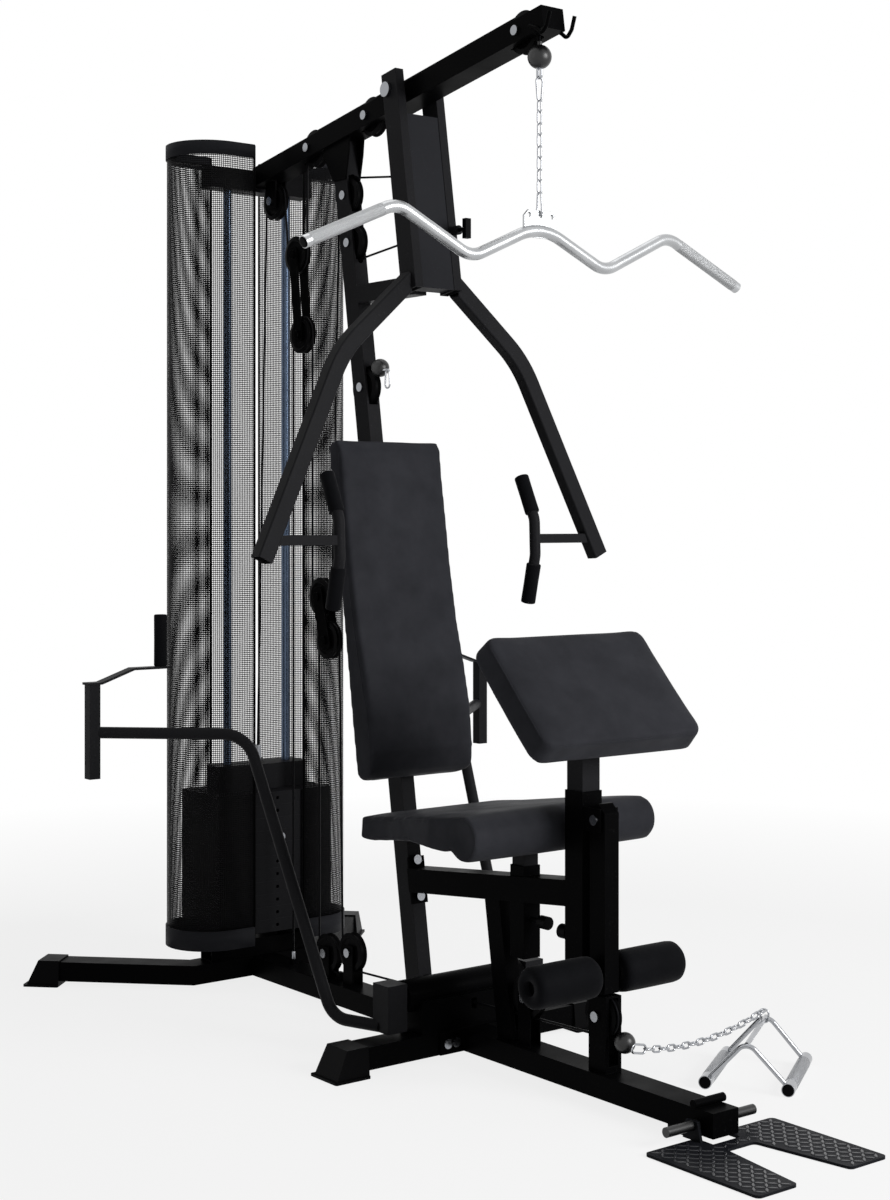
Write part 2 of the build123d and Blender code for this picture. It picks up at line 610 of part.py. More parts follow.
# ---------------------------------------------------------------- top beam
with BuildPart() as top_beam:
    along = Plane((0, BEAM_END_Y, BEAM_END_Z), x_dir=(1, 0, 0), z_dir=(0, cos(RISE), -sin(RISE)))
    beam_length = (BEAM_REAR_Y - BEAM_END_Y) / cos(RISE)
    bar(along, BEAM_WIDTH, BEAM_DEPTH, beam_length + 20, WALL)
    block((-100, BEAM_REAR_Y, OVERALL_HEIGHT - 300), (100, BEAM_REAR_Y + 100, OVERALL_HEIGHT - 100),
          Mode.SUBTRACT)
    bar(along, BEAM_WIDTH, BEAM_DEPTH, WALL)
    for centre in (LAT_PULLEY, BEAM_MID_PULLEY, BEAM_REAR_PULLEY):
        pulley_slot(centre)
        x_rod(BOLT_RADIUS + FIT, -50, 50, *centre, Mode.SUBTRACT)
    x_rod(8 + FIT, -50, 50, PRESS_PIVOT_Y, PRESS_PIVOT_Z, Mode.SUBTRACT)
    # ears that hang the tower pulley below the rear end
    for side in (-1, 1):
        ty, tz = TOWER_PULLEY
        x_mid = side * (PULLEY_WIDTH / 2 + 3.5)
        low = beam_z(ty + 22) - BEAM_DEPTH / 2 / cos(RISE) + 1
        block((x_mid - 2, ty - 22, tz - 18), (x_mid + 2, ty + 22, low + 1))
        x_rod(BOLT_RADIUS + FIT, -30, 30, ty, tz, Mode.SUBTRACT)
    for y, z in ((LAT_PULLEY[0] - CABLE_PITCH_RADIUS, LAT_PULLEY[1]),
                 (BEAM_REAR_PULLEY[0] + CABLE_PITCH_RADIUS, BEAM_REAR_PULLEY[1])):
        rope_slot(y, z - 60, z)
    # side plates that join it to the upright
    gusset_z = beam_z(upright_y(OVERALL_HEIGHT - 160)) - BEAM_DEPTH / 2 / cos(RISE)
    gusset_y = upright_y(gusset_z)
    for side in (-1, 1):
        x_in = side * UPRIGHT_WIDTH / 2
        x_out = side * (UPRIGHT_WIDTH / 2 + 4)
        plane = Plane((min(x_in, x_out), gusset_y, gusset_z), x_dir=(0, 1, 0), z_dir=(1, 0, 0))
        with BuildSketch(plane) as web:
            with BuildLine():
                Polyline((-52, 52 * tan(RISE)), (52, -52 * tan(RISE)), (40, -40), (10, -85), (-36, -85),
                         (-48, -30), close=True)
            make_face()
        extrude(web.sketch, amount=4)
    # J hooks on both sides of the beam's front end hold a bar that isn't in use
    for side in (-1, 1):
        x = side * (BEAM_WIDTH / 2 + 3.5)
        z = BEAM_END_Z
        points = [(x, -318, z - 14), (x, -338, z - 22), (x, -356, z - 36), (x, -370, z - 22), (x, -379, z + 3)]
        round_tube(points, [12, 9, 9], 4.0)
write(top_beam, "top_beam")

# ---------------------------------------------------------------- tower
with BuildPart() as tower_crossbar:
    bar(Plane((-CROSSBAR_HALF, TOWER_Y, CROSSBAR_TOP_Z - CROSSBAR_SIDE / 2), x_dir=(0, 1, 0), z_dir=(1, 0, 0)),
        CROSSBAR_SIDE, CROSSBAR_SIDE, 2 * CROSSBAR_HALF, WALL)
    for side in (-1, 1):
        z_rod(GUIDE_RADIUS + FIT, CROSSBAR_TOP_Z - CROSSBAR_SIDE - 1, CROSSBAR_TOP_Z - WALL - 1,
              side * GUIDE_X, TOWER_Y, Mode.SUBTRACT)
        shroud_bracket(side, CROSSBAR_TOP_Z, 35)
write(tower_crossbar, "tower_crossbar")

with BuildPart() as guide_rods:
    for side in (-1, 1):
        z_rod(GUIDE_RADIUS, BASE_TOP + WALL, CROSSBAR_TOP_Z - WALL - 2, side * GUIDE_X, TOWER_Y)
write(guide_rods, "guide_rods")

with BuildPart() as rubber_bumpers:
    foot_top = BASE_TOP + LOWER_CROSSBAR_HEIGHT
    for side in (-1, 1):
        z_rod(22, foot_top, foot_top + BUMPER_HEIGHT, side * GUIDE_X, TOWER_Y)
        z_rod(GUIDE_RADIUS + GAP, foot_top - 1, foot_top + BUMPER_HEIGHT + 1, side * GUIDE_X, TOWER_Y,
              Mode.SUBTRACT)
    # buffer on the press arms' stop bracket
    y_rod(15, stop_face - 11, stop_face, 0, STOP_Z)
write(rubber_bumpers, "rubber_bumpers")


def stadium(radius, z, height, side, opening, mode=Mode.ADD):
    """One half of the rounded tower outline, open in the middle."""
    with BuildSketch(Plane.XY.offset(z)) as outline:
        with Locations((0, TOWER_Y)):
            Rectangle(2 * SHROUD_SHIFT, 2 * radius)
        with Locations((-SHROUD_SHIFT, TOWER_Y), (SHROUD_SHIFT, TOWER_Y)):
            Circle(radius)
        with Locations((opening * side - side * 500, TOWER_Y)):
            Rectangle(1000, 1000, mode=Mode.SUBTRACT)
    extrude(outline.sketch, amount=height, mode=mode)


for side, hand in ((-1, "left"), (1, "right")):
    # thin perforated skin with a plain band at each end and a strip down each free edge
    full = SHROUD_TOP - SHROUD_BOTTOM
    with BuildPart() as shroud:
        stadium(SHROUD_RADIUS, SHROUD_BOTTOM, full, side, SHROUD_OPENING)
        for z, height in ((SHROUD_BOTTOM, BOTTOM_BAND), (SHROUD_TOP - TOP_BAND, TOP_BAND)):
            stadium(SHROUD_RADIUS + BAND, z, height, side, SHROUD_OPENING)
        for y in (TOWER_Y - SHROUD_RADIUS - BAND / 2, TOWER_Y + SHROUD_RADIUS + BAND / 2):
            x = side * (SHROUD_OPENING + 4)
            block((x - 4, y - BAND / 2, SHROUD_BOTTOM), (x + 4, y + BAND / 2, SHROUD_TOP))
        stadium(SHROUD_RADIUS - SHROUD_SKIN, SHROUD_BOTTOM - 1, full + 2, side, SHROUD_OPENING - 5,
                Mode.SUBTRACT)
    write(shroud, f"shroud_{hand}")

# ---------------------------------------------------------------- weight stack
def weight_plate(z):
    """One plate of the stack with its guide holes and selector bore."""
    with BuildSketch(Plane((0, TOWER_Y, z))) as outline:
        RectangleRounded(PLATE_WIDTH, PLATE_DEPTH, 10)
        with Locations((-GUIDE_X, 0), (GUIDE_X, 0)):
            Circle(GUIDE_RADIUS + GAP, mode=Mode.SUBTRACT)
        Circle(SELECTOR_RADIUS + GAP, mode=Mode.SUBTRACT)
    extrude(outline.sketch, amount=PLATE_PITCH - 0.2)
    y_rod(PIN_RADIUS + GAP, TOWER_Y - PLATE_DEPTH, TOWER_Y, 0, z + PLATE_PITCH / 2, Mode.SUBTRACT)


with BuildPart() as resting_plates:
    for index in range(RESTING_PLATES):
        weight_plate(STACK_BOTTOM + index * PLATE_PITCH)
write(resting_plates, "resting_plates")

with BuildPart() as lifted_plates:
    for index in range(LIFTED_PLATES):
        weight_plate(STACK_SPLIT + index * PLATE_PITCH)
write(lifted_plates, "lifted_plates")

with BuildPart() as stack_carrier:
    with BuildSketch(Plane((0, TOWER_Y, STACK_TOP))) as outline:
        RectangleRounded(CARRIER_WIDTH, CARRIER_DEPTH, 16)
        with Locations((-GUIDE_X, 0), (GUIDE_X, 0)):
            Circle(GUIDE_RADIUS + GAP, mode=Mode.SUBTRACT)
        Circle(SELECTOR_RADIUS + FIT, mode=Mode.SUBTRACT)
    extrude(outline.sketch, amount=CARRIER_HEIGHT)
write(stack_carrier, "stack_carrier")

CARRIER_TOP = STACK_TOP + CARRIER_HEIGHT
EYE_Z = CARRIER_TOP + 34
with BuildPart() as selector_rod:
    z_rod(SELECTOR_RADIUS, STACK_BOTTOM + 6, CARRIER_TOP + 12, 0, TOWER_Y)
    z_rod(SELECTOR_RADIUS + 4, CARRIER_TOP + 0.05, CARRIER_TOP + 12, 0, TOWER_Y)
    block((-5, TOWER_Y - 12, CARRIER_TOP + 11), (5, TOWER_Y + 12, EYE_Z + 8))
    for index in range(RESTING_PLATES + LIFTED_PLATES):
        y_rod(PIN_RADIUS + GAP, TOWER_Y - 20, TOWER_Y + 20, 0,
              STACK_BOTTOM + (index + 0.5) * PLATE_PITCH, Mode.SUBTRACT)
write(selector_rod, "selector_rod")

with BuildPart() as selector_pin:
    front = TOWER_Y - PLATE_DEPTH / 2
    z = STACK_SPLIT + PLATE_PITCH / 2
    y_rod(PIN_RADIUS, front - 6, TOWER_Y + 6, 0, z)
    y_rod(10, front - 18, front - 1, 0, z)
write(selector_pin, "selector_pin")

# ---------------------------------------------------------------- pulleys
PULLEYS = {
    "lat_pulley": LAT_PULLEY,
    "beam_mid_pulley": BEAM_MID_PULLEY,
    "beam_rear_pulley": BEAM_REAR_PULLEY,
    "tower_pulley": TOWER_PULLEY,
    "strap_upper_pulley": STRAP_UPPER_PULLEY,
    "strap_lower_pulley": STRAP_LOWER_PULLEY,
    "press_upper_pulley": PRESS_UPPER_PULLEY,
    "press_lower_pulley": PRESS_LOWER_PULLEY,
    "crunch_pulley": CRUNCH_PULLEY,
    "back_upper_pulley": BACK_UPPER_PULLEY,
    "back_lower_pulley": BACK_LOWER_PULLEY,
    "base_rear_pulley": BASE_REAR_PULLEY,
    "base_front_pulley": BASE_FRONT_PULLEY,
    "base_mid_pulley": BASE_MID_PULLEY,
    "low_pulley": LOW_PULLEY,
}
for pulley_name, pulley_centre in PULLEYS.items():
    make_pulley(pulley_name, pulley_centre)

def cheeks(first, second, half_width, reach):
    """Pair of plates that carry pulleys between them."""
    (y1, z1), (y2, z2) = first, second
    span = hypot(y2 - y1, z2 - z1) + 2 * reach
    for side in (-1, 1):
        x = CHEEK_X if side > 0 else -CHEEK_X - CHEEK
        middle = (x, (y1 + y2) / 2, (z1 + z2) / 2)
        with BuildSketch(Plane(middle, x_dir=(0, y2 - y1, z2 - z1), z_dir=(1, 0, 0))) as plate:
            RectangleRounded(span, 2 * half_width, half_width * 0.6)
        extrude(plate.sketch, amount=CHEEK)
    for y, z in (first, second):
        x_rod(BOLT_RADIUS + FIT, -30, 30, y, z, Mode.SUBTRACT)


with BuildPart() as pulley_blocks:
    # two pairs of plates that float on the cables, each with two pulleys
    cheeks(STRAP_UPPER_PULLEY, STRAP_LOWER_PULLEY, 16, 18)
    cheeks(BACK_UPPER_PULLEY, BACK_LOWER_PULLEY, 20, 22)
    for y, z in (STRAP_UPPER_PULLEY, STRAP_LOWER_PULLEY, BACK_UPPER_PULLEY, BACK_LOWER_PULLEY):
        x_bolt(CHEEK_X + CHEEK, y, z)
write(pulley_blocks, "pulley_blocks")

# ---------------------------------------------------------------- lat bar and its chain
STOP_BALL_Z = LAT_PULLEY[1] - 56
CLIP_TOP = STOP_BALL_Z - BALL_RADIUS
LUG_HOLE_Z = LAT_CENTRE_Z + 32


def chain_link(plane, length=LINK_INNER, wire=LINK_WIRE, low=LINK_WIDTH / 2 - LINK_WIRE, high=None):
    """One link: a loop of wire in the plane's x and y, long along y, with end arcs of the radii low and high."""
    high = high or low
    low_y, high_y = low - length / 2, length / 2 - high
    slope = asin((low - high) / (high_y - low_y))
    with BuildPart(mode=Mode.PRIVATE) as link:
        with BuildLine(plane) as loop:
            low_x, high_x = low * cos(slope), high * cos(slope)
            low_end, high_end = low_y + low * sin(slope), high_y + high * sin(slope)
            right = Line((low_x, low_end), (high_x, high_end))
            over = TangentArc(right @ 1, (-high_x, high_end), tangent=right % 1)
            left = Line(over @ 1, (-low_x, low_end))
            TangentArc(left @ 1, right @ 0, tangent=left % 1)
        with BuildSketch(Plane(origin=loop.line @ 0, z_dir=loop.line % 0)):
            Circle(wire)
        sweep()
    return link.part


LINK_PITCH = LINK_INNER - 0.5
# the eye of the stop ball, a clip, the links and a second clip, as (length, wire radius, arc below, arc above)
LAT_LINKS = [(20.0, 3.2, 5.5, 5.5), (45.0, 2.3, 5.2, 8.2)] + [(23.2, 2.0, 5.0, 5.0)] * 8
LAT_LINKS.append((CLIP_TOP + 3 - LUG_HOLE_Z - 1.2 - sum(link[0] - 0.5 for link in LAT_LINKS), 2.3, 7.4, 5.2))
with BuildPart() as lat_chain:
    # stop ball, with the first link cast into it
    with Locations((0, LAT_Y, STOP_BALL_Z)):
        Sphere(BALL_RADIUS)
    z_rod(5, STOP_BALL_Z, STOP_BALL_Z + BALL_RADIUS + 6, 0, LAT_Y)
    top = CLIP_TOP + 3
    for index, (length, wire, low, high) in enumerate(LAT_LINKS):
        across = (1, 0, 0) if index % 2 else (0, 1, 0)
        facing = (0, -1, 0) if index % 2 else (1, 0, 0)
        add(chain_link(Plane((0, LAT_Y, top - length / 2), x_dir=across, z_dir=facing), length, wire, low, high))
        top -= length - 0.5
write(lat_chain, "lat_chain")

with BuildPart() as lat_bar:
    # one zigzag tube with two raised shoulders and a raised middle, grips at its ends
    peak_x, peak_z = 349.0, LAT_CENTRE_Z + 22
    valley_x, valley_z = 172.0, LAT_CENTRE_Z - 64
    end_z = LAT_CENTRE_Z - 69
    half = [(LAT_HALF, end_z), (peak_x, peak_z), (valley_x, valley_z)]
    points = [(-x, LAT_Y, z) for x, z in half] + [(0, LAT_Y, LAT_CENTRE_Z + 14)]
    points += [(x, LAT_Y, z) for x, z in reversed(half)]
    round_tube(points, [60, 60, 130, 60, 60], LAT_TUBE)
    with BuildSketch(Plane((0, LAT_Y + 3, 0), x_dir=(1, 0, 0), z_dir=(0, -1, 0))) as lug:
        with BuildLine():
            Polyline((-41, LAT_CENTRE_Z - 12), (41, LAT_CENTRE_Z - 12), (41, LAT_CENTRE_Z + 30),
                     (30, LAT_CENTRE_Z + 42), (-30, LAT_CENTRE_Z + 42), (-41, LAT_CENTRE_Z + 30), close=True)
        make_face()
        with Locations((-29, LUG_HOLE_Z), (0, LUG_HOLE_Z), (29, LUG_HOLE_Z)):
            Circle(5, mode=Mode.SUBTRACT)
    extrude(lug.sketch, amount=6)
write(lat_bar, "lat_bar")

# ---------------------------------------------------------------- press arms
LOCK_Z = PRESS_POST_BOTTOM_Z + 132

with BuildPart() as press_frame:
    top_z = PRESS_PIVOT_Z + 38
    for side in (-1, 1):
        middle = press_front(PRESS_POST_BOTTOM_Z) + PRESS_POST_DEPTH / 2
        plane = tilt_up(UPRIGHT_LEAN, middle, PRESS_POST_BOTTOM_Z, side * PRESS_POST_X)
        post_length = (top_z - PRESS_POST_BOTTOM_Z) / cos(radians(UPRIGHT_LEAN))
        bar(plane, PRESS_POST_WIDTH, PRESS_POST_DEPTH, post_length, 2.0)
    x_rod(8 + FIT, -90, 90, PRESS_PIVOT_Y, PRESS_PIVOT_Z, Mode.SUBTRACT)
    # cross members between the posts: bottom, and the cable bar in the middle
    inner = PRESS_POST_X - PRESS_POST_WIDTH / 2
    for rise, tall in ((4, 30), (108, 24), (241, 24)):
        z = PRESS_POST_BOTTOM_Z + rise
        plane = tilt_up(UPRIGHT_LEAN, press_front(z) + PRESS_POST_DEPTH / 2, z)
        bar(plane, 2 * inner, PRESS_POST_DEPTH - 12, tall)
    # boss of the lock pin
    face = press_front(LOCK_Z)
    y_rod(10, face - 22, face + 1, PRESS_POST_X, LOCK_Z)
    y_rod(4.0 + FIT, face - 30, face + 20, PRESS_POST_X, LOCK_Z, Mode.SUBTRACT)
write(press_frame, "press_frame")

with BuildPart() as press_cover:
    z_low, z_high = PRESS_POST_BOTTOM_Z + 4, PRESS_PIVOT_Z - 54
    plane = tilt_up(UPRIGHT_LEAN, press_front(z_low) + 2.5, z_low)
    bar(plane, 2 * (PRESS_POST_X - PRESS_POST_WIDTH / 2) - 0.4, 3.0, (z_high - z_low) / cos(radians(UPRIGHT_LEAN)))
write(press_cover, "press_cover")

with BuildPart() as press_lock_knob:
    y_rod(4, face - 46, face + 12, PRESS_POST_X, LOCK_Z)
    bar(Plane((PRESS_POST_X, face - 54, LOCK_Z), x_dir=(1, 0, 0), z_dir=(0, 1, 0)), 14, 42, 12)
write(press_lock_knob, "press_lock_knob")

ARM_TOP = (56.0, PRESS_POST_BOTTOM_Z + 22)
ARM_KNEE = (238.0, PRESS_POST_BOTTOM_Z - 138)
ARM_END = (PRESS_ARM_END_X, 1018.0)


def arm_y(z):
    """Middle of the press arms in depth at height z."""
    return 8.0 + (z - ARM_END[1]) * 0.06


with BuildPart() as press_arms:
    for side in (-1, 1):
        points = [(side * x, arm_y(z), z) for x, z in (ARM_TOP, ARM_KNEE, ARM_END)]
        with BuildLine() as route:
            FilletPolyline(*points, radius=260)
        across = Vector(0, 1, 0)
        start = route.line @ 0
        direction = route.line % 0
        with BuildSketch(Plane(origin=start, x_dir=across.cross(direction), z_dir=direction)) as section:
            RectangleRounded(PRESS_ARM_SIDE, PRESS_ARM_SIDE - 4, 4)
            RectangleRounded(PRESS_ARM_SIDE - 4, PRESS_ARM_SIDE - 8, 2, mode=Mode.SUBTRACT)
        sweep(section.sketch, path=route.line)
        # cross tube out to the handle
        cross_z = 1056.0
        xs = sorted((side * (PRESS_HANDLE_X + HANDLE_TUBE_RADIUS - 3), side * (PRESS_ARM_END_X - 36)))
        block((xs[0], arm_y(cross_z) - 10, cross_z - 10), (xs[1], arm_y(cross_z) + 10, cross_z + 10))
        x = side * PRESS_HANDLE_X
        round_tube([(x, 30, 919), (x, arm_y(1024) - 2, 1020), (x, arm_y(1100) - 4, 1098), (x, 52, 1188)],
                   [40, 40], HANDLE_TUBE_RADIUS)
    # the arms' tops are cut flush with the outer sides of the frame's posts
    below = PRESS_POST_BOTTOM_Z - 180
    post = tilt_up(UPRIGHT_LEAN, press_front(below) + PRESS_POST_DEPTH / 2, below)
    bar(post, 2 * (PRESS_POST_X + PRESS_POST_WIDTH / 2), 200, 400, mode=Mode.SUBTRACT)
write(press_arms, "press_arms")

with BuildPart() as press_grips:
    for side in (-1, 1):
        x = side * PRESS_HANDLE_X
        for low, high in (((30, 919), (arm_y(1024) - 2, 1020)), ((52, 1188), (arm_y(1100) - 4, 1098))):
            run = Vector(0, high[0] - low[0], high[1] - low[1])
            axis = run.normalized()
            base = Vector(x, low[0], low[1]) - axis * 4
            with BuildSketch(Plane(origin=base, z_dir=axis)) as ring:
                Circle(GRIP_RADIUS)
            extrude(ring.sketch, amount=88)
            with BuildSketch(Plane(origin=base + axis * 3.8, z_dir=axis)) as bore:
                Circle(HANDLE_TUBE_RADIUS + 0.1)
            extrude(bore.sketch, amount=100, mode=Mode.SUBTRACT)
write(press_grips, "press_grips")

# ---------------------------------------------------------------- rear arms
ARM_BEND_Z = 638.0
for side, hand in ((-1, "left"), (1, "right")):
    with BuildPart() as arm:
        points = [
            (side * 196, AXLE_Y + 10, 76),
            (side * 236, 66, 76),
            (side * 285, 318, ARM_BEND_Z),
            (side * (REAR_POST_X - REAR_POST_SIDE / 2 + 2), 543, ARM_BEND_Z),
        ]
        round_tube(points, [56, 75], REAR_ARM_RADIUS)
        xs = sorted((side * HUB_IN, side * HUB_OUT))
        block((xs[0], AXLE_Y - 26, BASE_TOP + 9), (xs[1], AXLE_Y + 26, AXLE_Z + 32))
        bores = sorted((side * (HUB_IN - 1), side * (HUB_OUT - 9)))
        x_rod(AXLE_RADIUS + FIT, bores[0], bores[1], AXLE_Y, AXLE_Z, Mode.SUBTRACT)
        bar(Plane((side * REAR_POST_X, 543, 539)), REAR_POST_SIDE, REAR_POST_SIDE, 204)
        # joggled flat bar on the post carries the upright grip's stem
        base_z = 742.0
        with BuildSketch(Plane((0, 543 + 14, 0), x_dir=(1, 0, 0), z_dir=(0, -1, 0))) as flat:
            with BuildLine():
                outline = [(-552, 0), (-518, 0), (-440, 27), (-346, 27), (-346, 32), (-441, 32), (-519, 5), (-552, 5)]
                Polyline(*[(-side * x, base_z + z) for x, z in outline], close=True)
            make_face()
        extrude(flat.sketch, amount=28)
        z_rod(10, base_z + 31, base_z + 140, side * 369, 543)
    write(arm, f"rear_arm_{hand}")

    with BuildPart() as grip:
        z_rod(14.5, 774.2, 888, side * 369, 543)
        z_rod(10.1, 773, 882.2, side * 369, 543, Mode.SUBTRACT)
    write(grip, f"rear_grip_{hand}")

# ---------------------------------------------------------------- seat beam and posts
SEAT_TAN = tan(radians(SEAT_BEAM_RISE))
SEAT_BEAM_MID_Y = -192.0
SEAT_BEAM_MID_Z = 358.0
FRONT_SLEEVE_BACK = FRONT_SLEEVE_Y + SLEEVE_SIDE / 2


def seat_beam_z(y):
    """Centre line of the seat beam at y."""
    return SEAT_BEAM_MID_Z - (y - SEAT_BEAM_MID_Y) * SEAT_TAN


SEAT_POST_HALF = 21.0  # the seat sleeve's half width across and along
SEAT_KNOB_Z = 306.0
LEVER_EAR = 4.0
PROP_TOP_Y = -183.0
PROP_DEPTH = 46.0
with BuildPart() as seat_beam:
    rise = radians(SEAT_BEAM_RISE)
    y0 = FRONT_SLEEVE_BACK - 20
    plane = Plane((0, y0, seat_beam_z(y0)), x_dir=(1, 0, 0), z_dir=(0, cos(rise), -sin(rise)))
    bar(plane, SEAT_BEAM_SIDE, SEAT_BEAM_SIDE, 560, WALL)
    block((-100, FRONT_SLEEVE_BACK - 60, 250), (100, FRONT_SLEEVE_BACK, 500), Mode.SUBTRACT)
    lean_cos = cos(radians(UPRIGHT_LEAN))
    beyond = upright_front(100) + (150 - FLANGE / 2) / lean_cos
    bar(tilt_up(UPRIGHT_LEAN, beyond, 100), 200, 300, 600, mode=Mode.SUBTRACT)
    block((-SEAT_POST_HALF, SEAT_POST_Y - SEAT_POST_HALF, 200), (SEAT_POST_HALF, SEAT_POST_Y + SEAT_POST_HALF, 500),
          Mode.SUBTRACT)
    # flange that is bolted to the front of the upright
    low, high = SEAT_FLANGE_Z
    flange_y = upright_front(low) - (FLANGE / 2 + FIT) / lean_cos
    bar(tilt_up(UPRIGHT_LEAN, flange_y, low), SEAT_FLANGE_WIDTH, FLANGE, (high - low) / lean_cos)
    for z in SEAT_BOLTS_Z:
        across_upright(BOLT_RADIUS + FIT, z, -UPRIGHT_DEPTH, 0, Mode.SUBTRACT)
    # prop down to the base beam, parallel to the upright
    top_z = seat_beam_z(PROP_TOP_Y) - SEAT_BEAM_SIDE / 2 / cos(rise)
    foot_y = PROP_TOP_Y - (top_z - BASE_TOP) * LEAN_TAN
    prop_length = (top_z - BASE_TOP) / cos(radians(UPRIGHT_LEAN))
    bar(tilt_up(UPRIGHT_LEAN, foot_y, BASE_TOP), UPRIGHT_WIDTH, PROP_DEPTH, prop_length + 2, WALL)
    block((-60, foot_y - 200, 0), (60, foot_y + 200, BASE_TOP), Mode.SUBTRACT)
    block((-6, foot_y - 60, CABLE_PASS_Z - 22), (6, foot_y + 60, CABLE_PASS_Z + 26), Mode.SUBTRACT)
    # sleeve of the seat post
    block((-SEAT_POST_HALF, SEAT_POST_Y - SEAT_POST_HALF, 229), (SEAT_POST_HALF, SEAT_POST_Y + SEAT_POST_HALF, 412))
    inner = SEAT_POST_HALF - SLEEVE_WALL
    block((-inner, SEAT_POST_Y - inner, 200), (inner, SEAT_POST_Y + inner, 500), Mode.SUBTRACT)
    y_rod(5.5 + FIT, SEAT_POST_Y - 60, SEAT_POST_Y, 0, SEAT_KNOB_Z, Mode.SUBTRACT)
    # sleeve of the curl pad's post at the front end
    half = SLEEVE_SIDE / 2
    block((-half, FRONT_SLEEVE_Y - half, FRONT_SLEEVE_BOTTOM), (half, FRONT_SLEEVE_Y + half, FRONT_SLEEVE_TOP))
    half = SLEEVE_INNER / 2
    block((-half, FRONT_SLEEVE_Y - half, 100), (half, FRONT_SLEEVE_Y + half, 700), Mode.SUBTRACT)
    y_rod(5.5 + FIT, FRONT_SLEEVE_Y, FRONT_SLEEVE_Y + 60, 0, CURL_KNOB_Z, Mode.SUBTRACT)
    # ears that carry the leg lever's pivot
    for side in (-1, 1):
        x = LEVER_WIDTH / 2 + 1 if side > 0 else -LEVER_WIDTH / 2 - 1 - LEVER_EAR
        ear_rear = FRONT_SLEEVE_Y - SLEEVE_SIDE / 2
        block((x, LEVER_PIVOT_Y - 14, LEVER_PIVOT_Z - 22), (x + LEVER_EAR, ear_rear, LEVER_PIVOT_Z + 22))
    x_rod(BOLT_RADIUS + FIT, -40, 40, LEVER_PIVOT_Y, LEVER_PIVOT_Z, Mode.SUBTRACT)
write(seat_beam, "seat_beam")

with BuildPart() as seat_post:
    inner = SEAT_POST_HALF - SLEEVE_WALL - SLIDE_FIT
    seat_under = 463.0
    block((-inner, SEAT_POST_Y - inner, 240), (inner, SEAT_POST_Y + inner, seat_under))
    block((-90, -300, seat_under - 4), (90, SEAT_POST_Y + 110, seat_under))
write(seat_post, "seat_post")

with BuildPart() as seat_knob:
    face = SEAT_POST_Y - SEAT_POST_HALF
    y_rod(5.5, face - 36, face + PIN_REACH, 0, SEAT_KNOB_Z)
    y_rod(13, face - 50, face - 28, 0, SEAT_KNOB_Z)
write(seat_knob, "seat_knob")

# ---------------------------------------------------------------- curl pad
TILT = radians(CURL_PAD_TILT)
PAD_NORMAL = Vector(0, -sin(TILT), cos(TILT))
PAD_FACE = Vector(0, -478, 785)
PAD_UNDER = PAD_FACE - PAD_NORMAL * CURL_PAD_THICK

with BuildPart() as curl_pad:
    with BuildSketch(Plane(origin=PAD_UNDER, x_dir=(1, 0, 0), z_dir=PAD_NORMAL)):
        RectangleRounded(2 * CURL_PAD_HALF, CURL_PAD_LENGTH, 26)
    extrude(amount=CURL_PAD_THICK)
    fillet(curl_pad.faces().sort_by(Axis.Z)[-1:].edges(), radius=8)
write(curl_pad, "curl_pad")

with BuildPart() as curl_post:
    half = POST_SIDE / 2
    plate = Plane(origin=PAD_UNDER - PAD_NORMAL * (GAP + 5), x_dir=(1, 0, 0), z_dir=PAD_NORMAL)
    block((-half, FRONT_SLEEVE_Y - half, 215), (half, FRONT_SLEEVE_Y + half, 790))
    bar(plate, 2000, 2000, 400, mode=Mode.SUBTRACT)
    bar(plate, 150, 200, 5)
write(curl_post, "curl_post")

with BuildPart() as curl_knob:
    face = FRONT_SLEEVE_Y + SLEEVE_SIDE / 2
    y_rod(5.5, face - PIN_REACH, face + 30, 0, CURL_KNOB_Z)
    y_rod(14, face + 16, face + 38, 0, CURL_KNOB_Z)
write(curl_knob, "curl_knob")

# ---------------------------------------------------------------- leg lever
LEVER_TOP = LEVER_PIVOT_Z + 30
with BuildPart() as leg_lever:
    y0, y1 = LEVER_PIVOT_Y - 22, LEVER_PIVOT_Y + 20
    block((-LEVER_WIDTH / 2, y0, LEVER_BOTTOM), (LEVER_WIDTH / 2, y1, LEVER_TOP))
    chamfer(leg_lever.edges().filter_by(Axis.X).group_by(Axis.Z)[-1], length=17)
    x_rod(BOLT_RADIUS + FIT, -40, 40, LEVER_PIVOT_Y, LEVER_PIVOT_Z, Mode.SUBTRACT)
    x_rod(ROLLER_BAR_RADIUS, -ROLLER_OUTER_X + 12, ROLLER_OUTER_X - 12, LEVER_PIVOT_Y, ROLLER_Z)
write(leg_lever, "leg_lever")

with BuildPart() as foam_rollers:
    for side in (-1, 1):
        xs = sorted((side * (SLEEVE_SIDE / 2 + 5), side * ROLLER_OUTER_X))
        x_rod(ROLLER_RADIUS, xs[0], xs[1], LEVER_PIVOT_Y, ROLLER_Z)
        x_rod(ROLLER_BAR_RADIUS + FIT, xs[0] - 1, xs[1] + 1, LEVER_PIVOT_Y, ROLLER_Z, Mode.SUBTRACT)
write(foam_rollers, "foam_rollers")

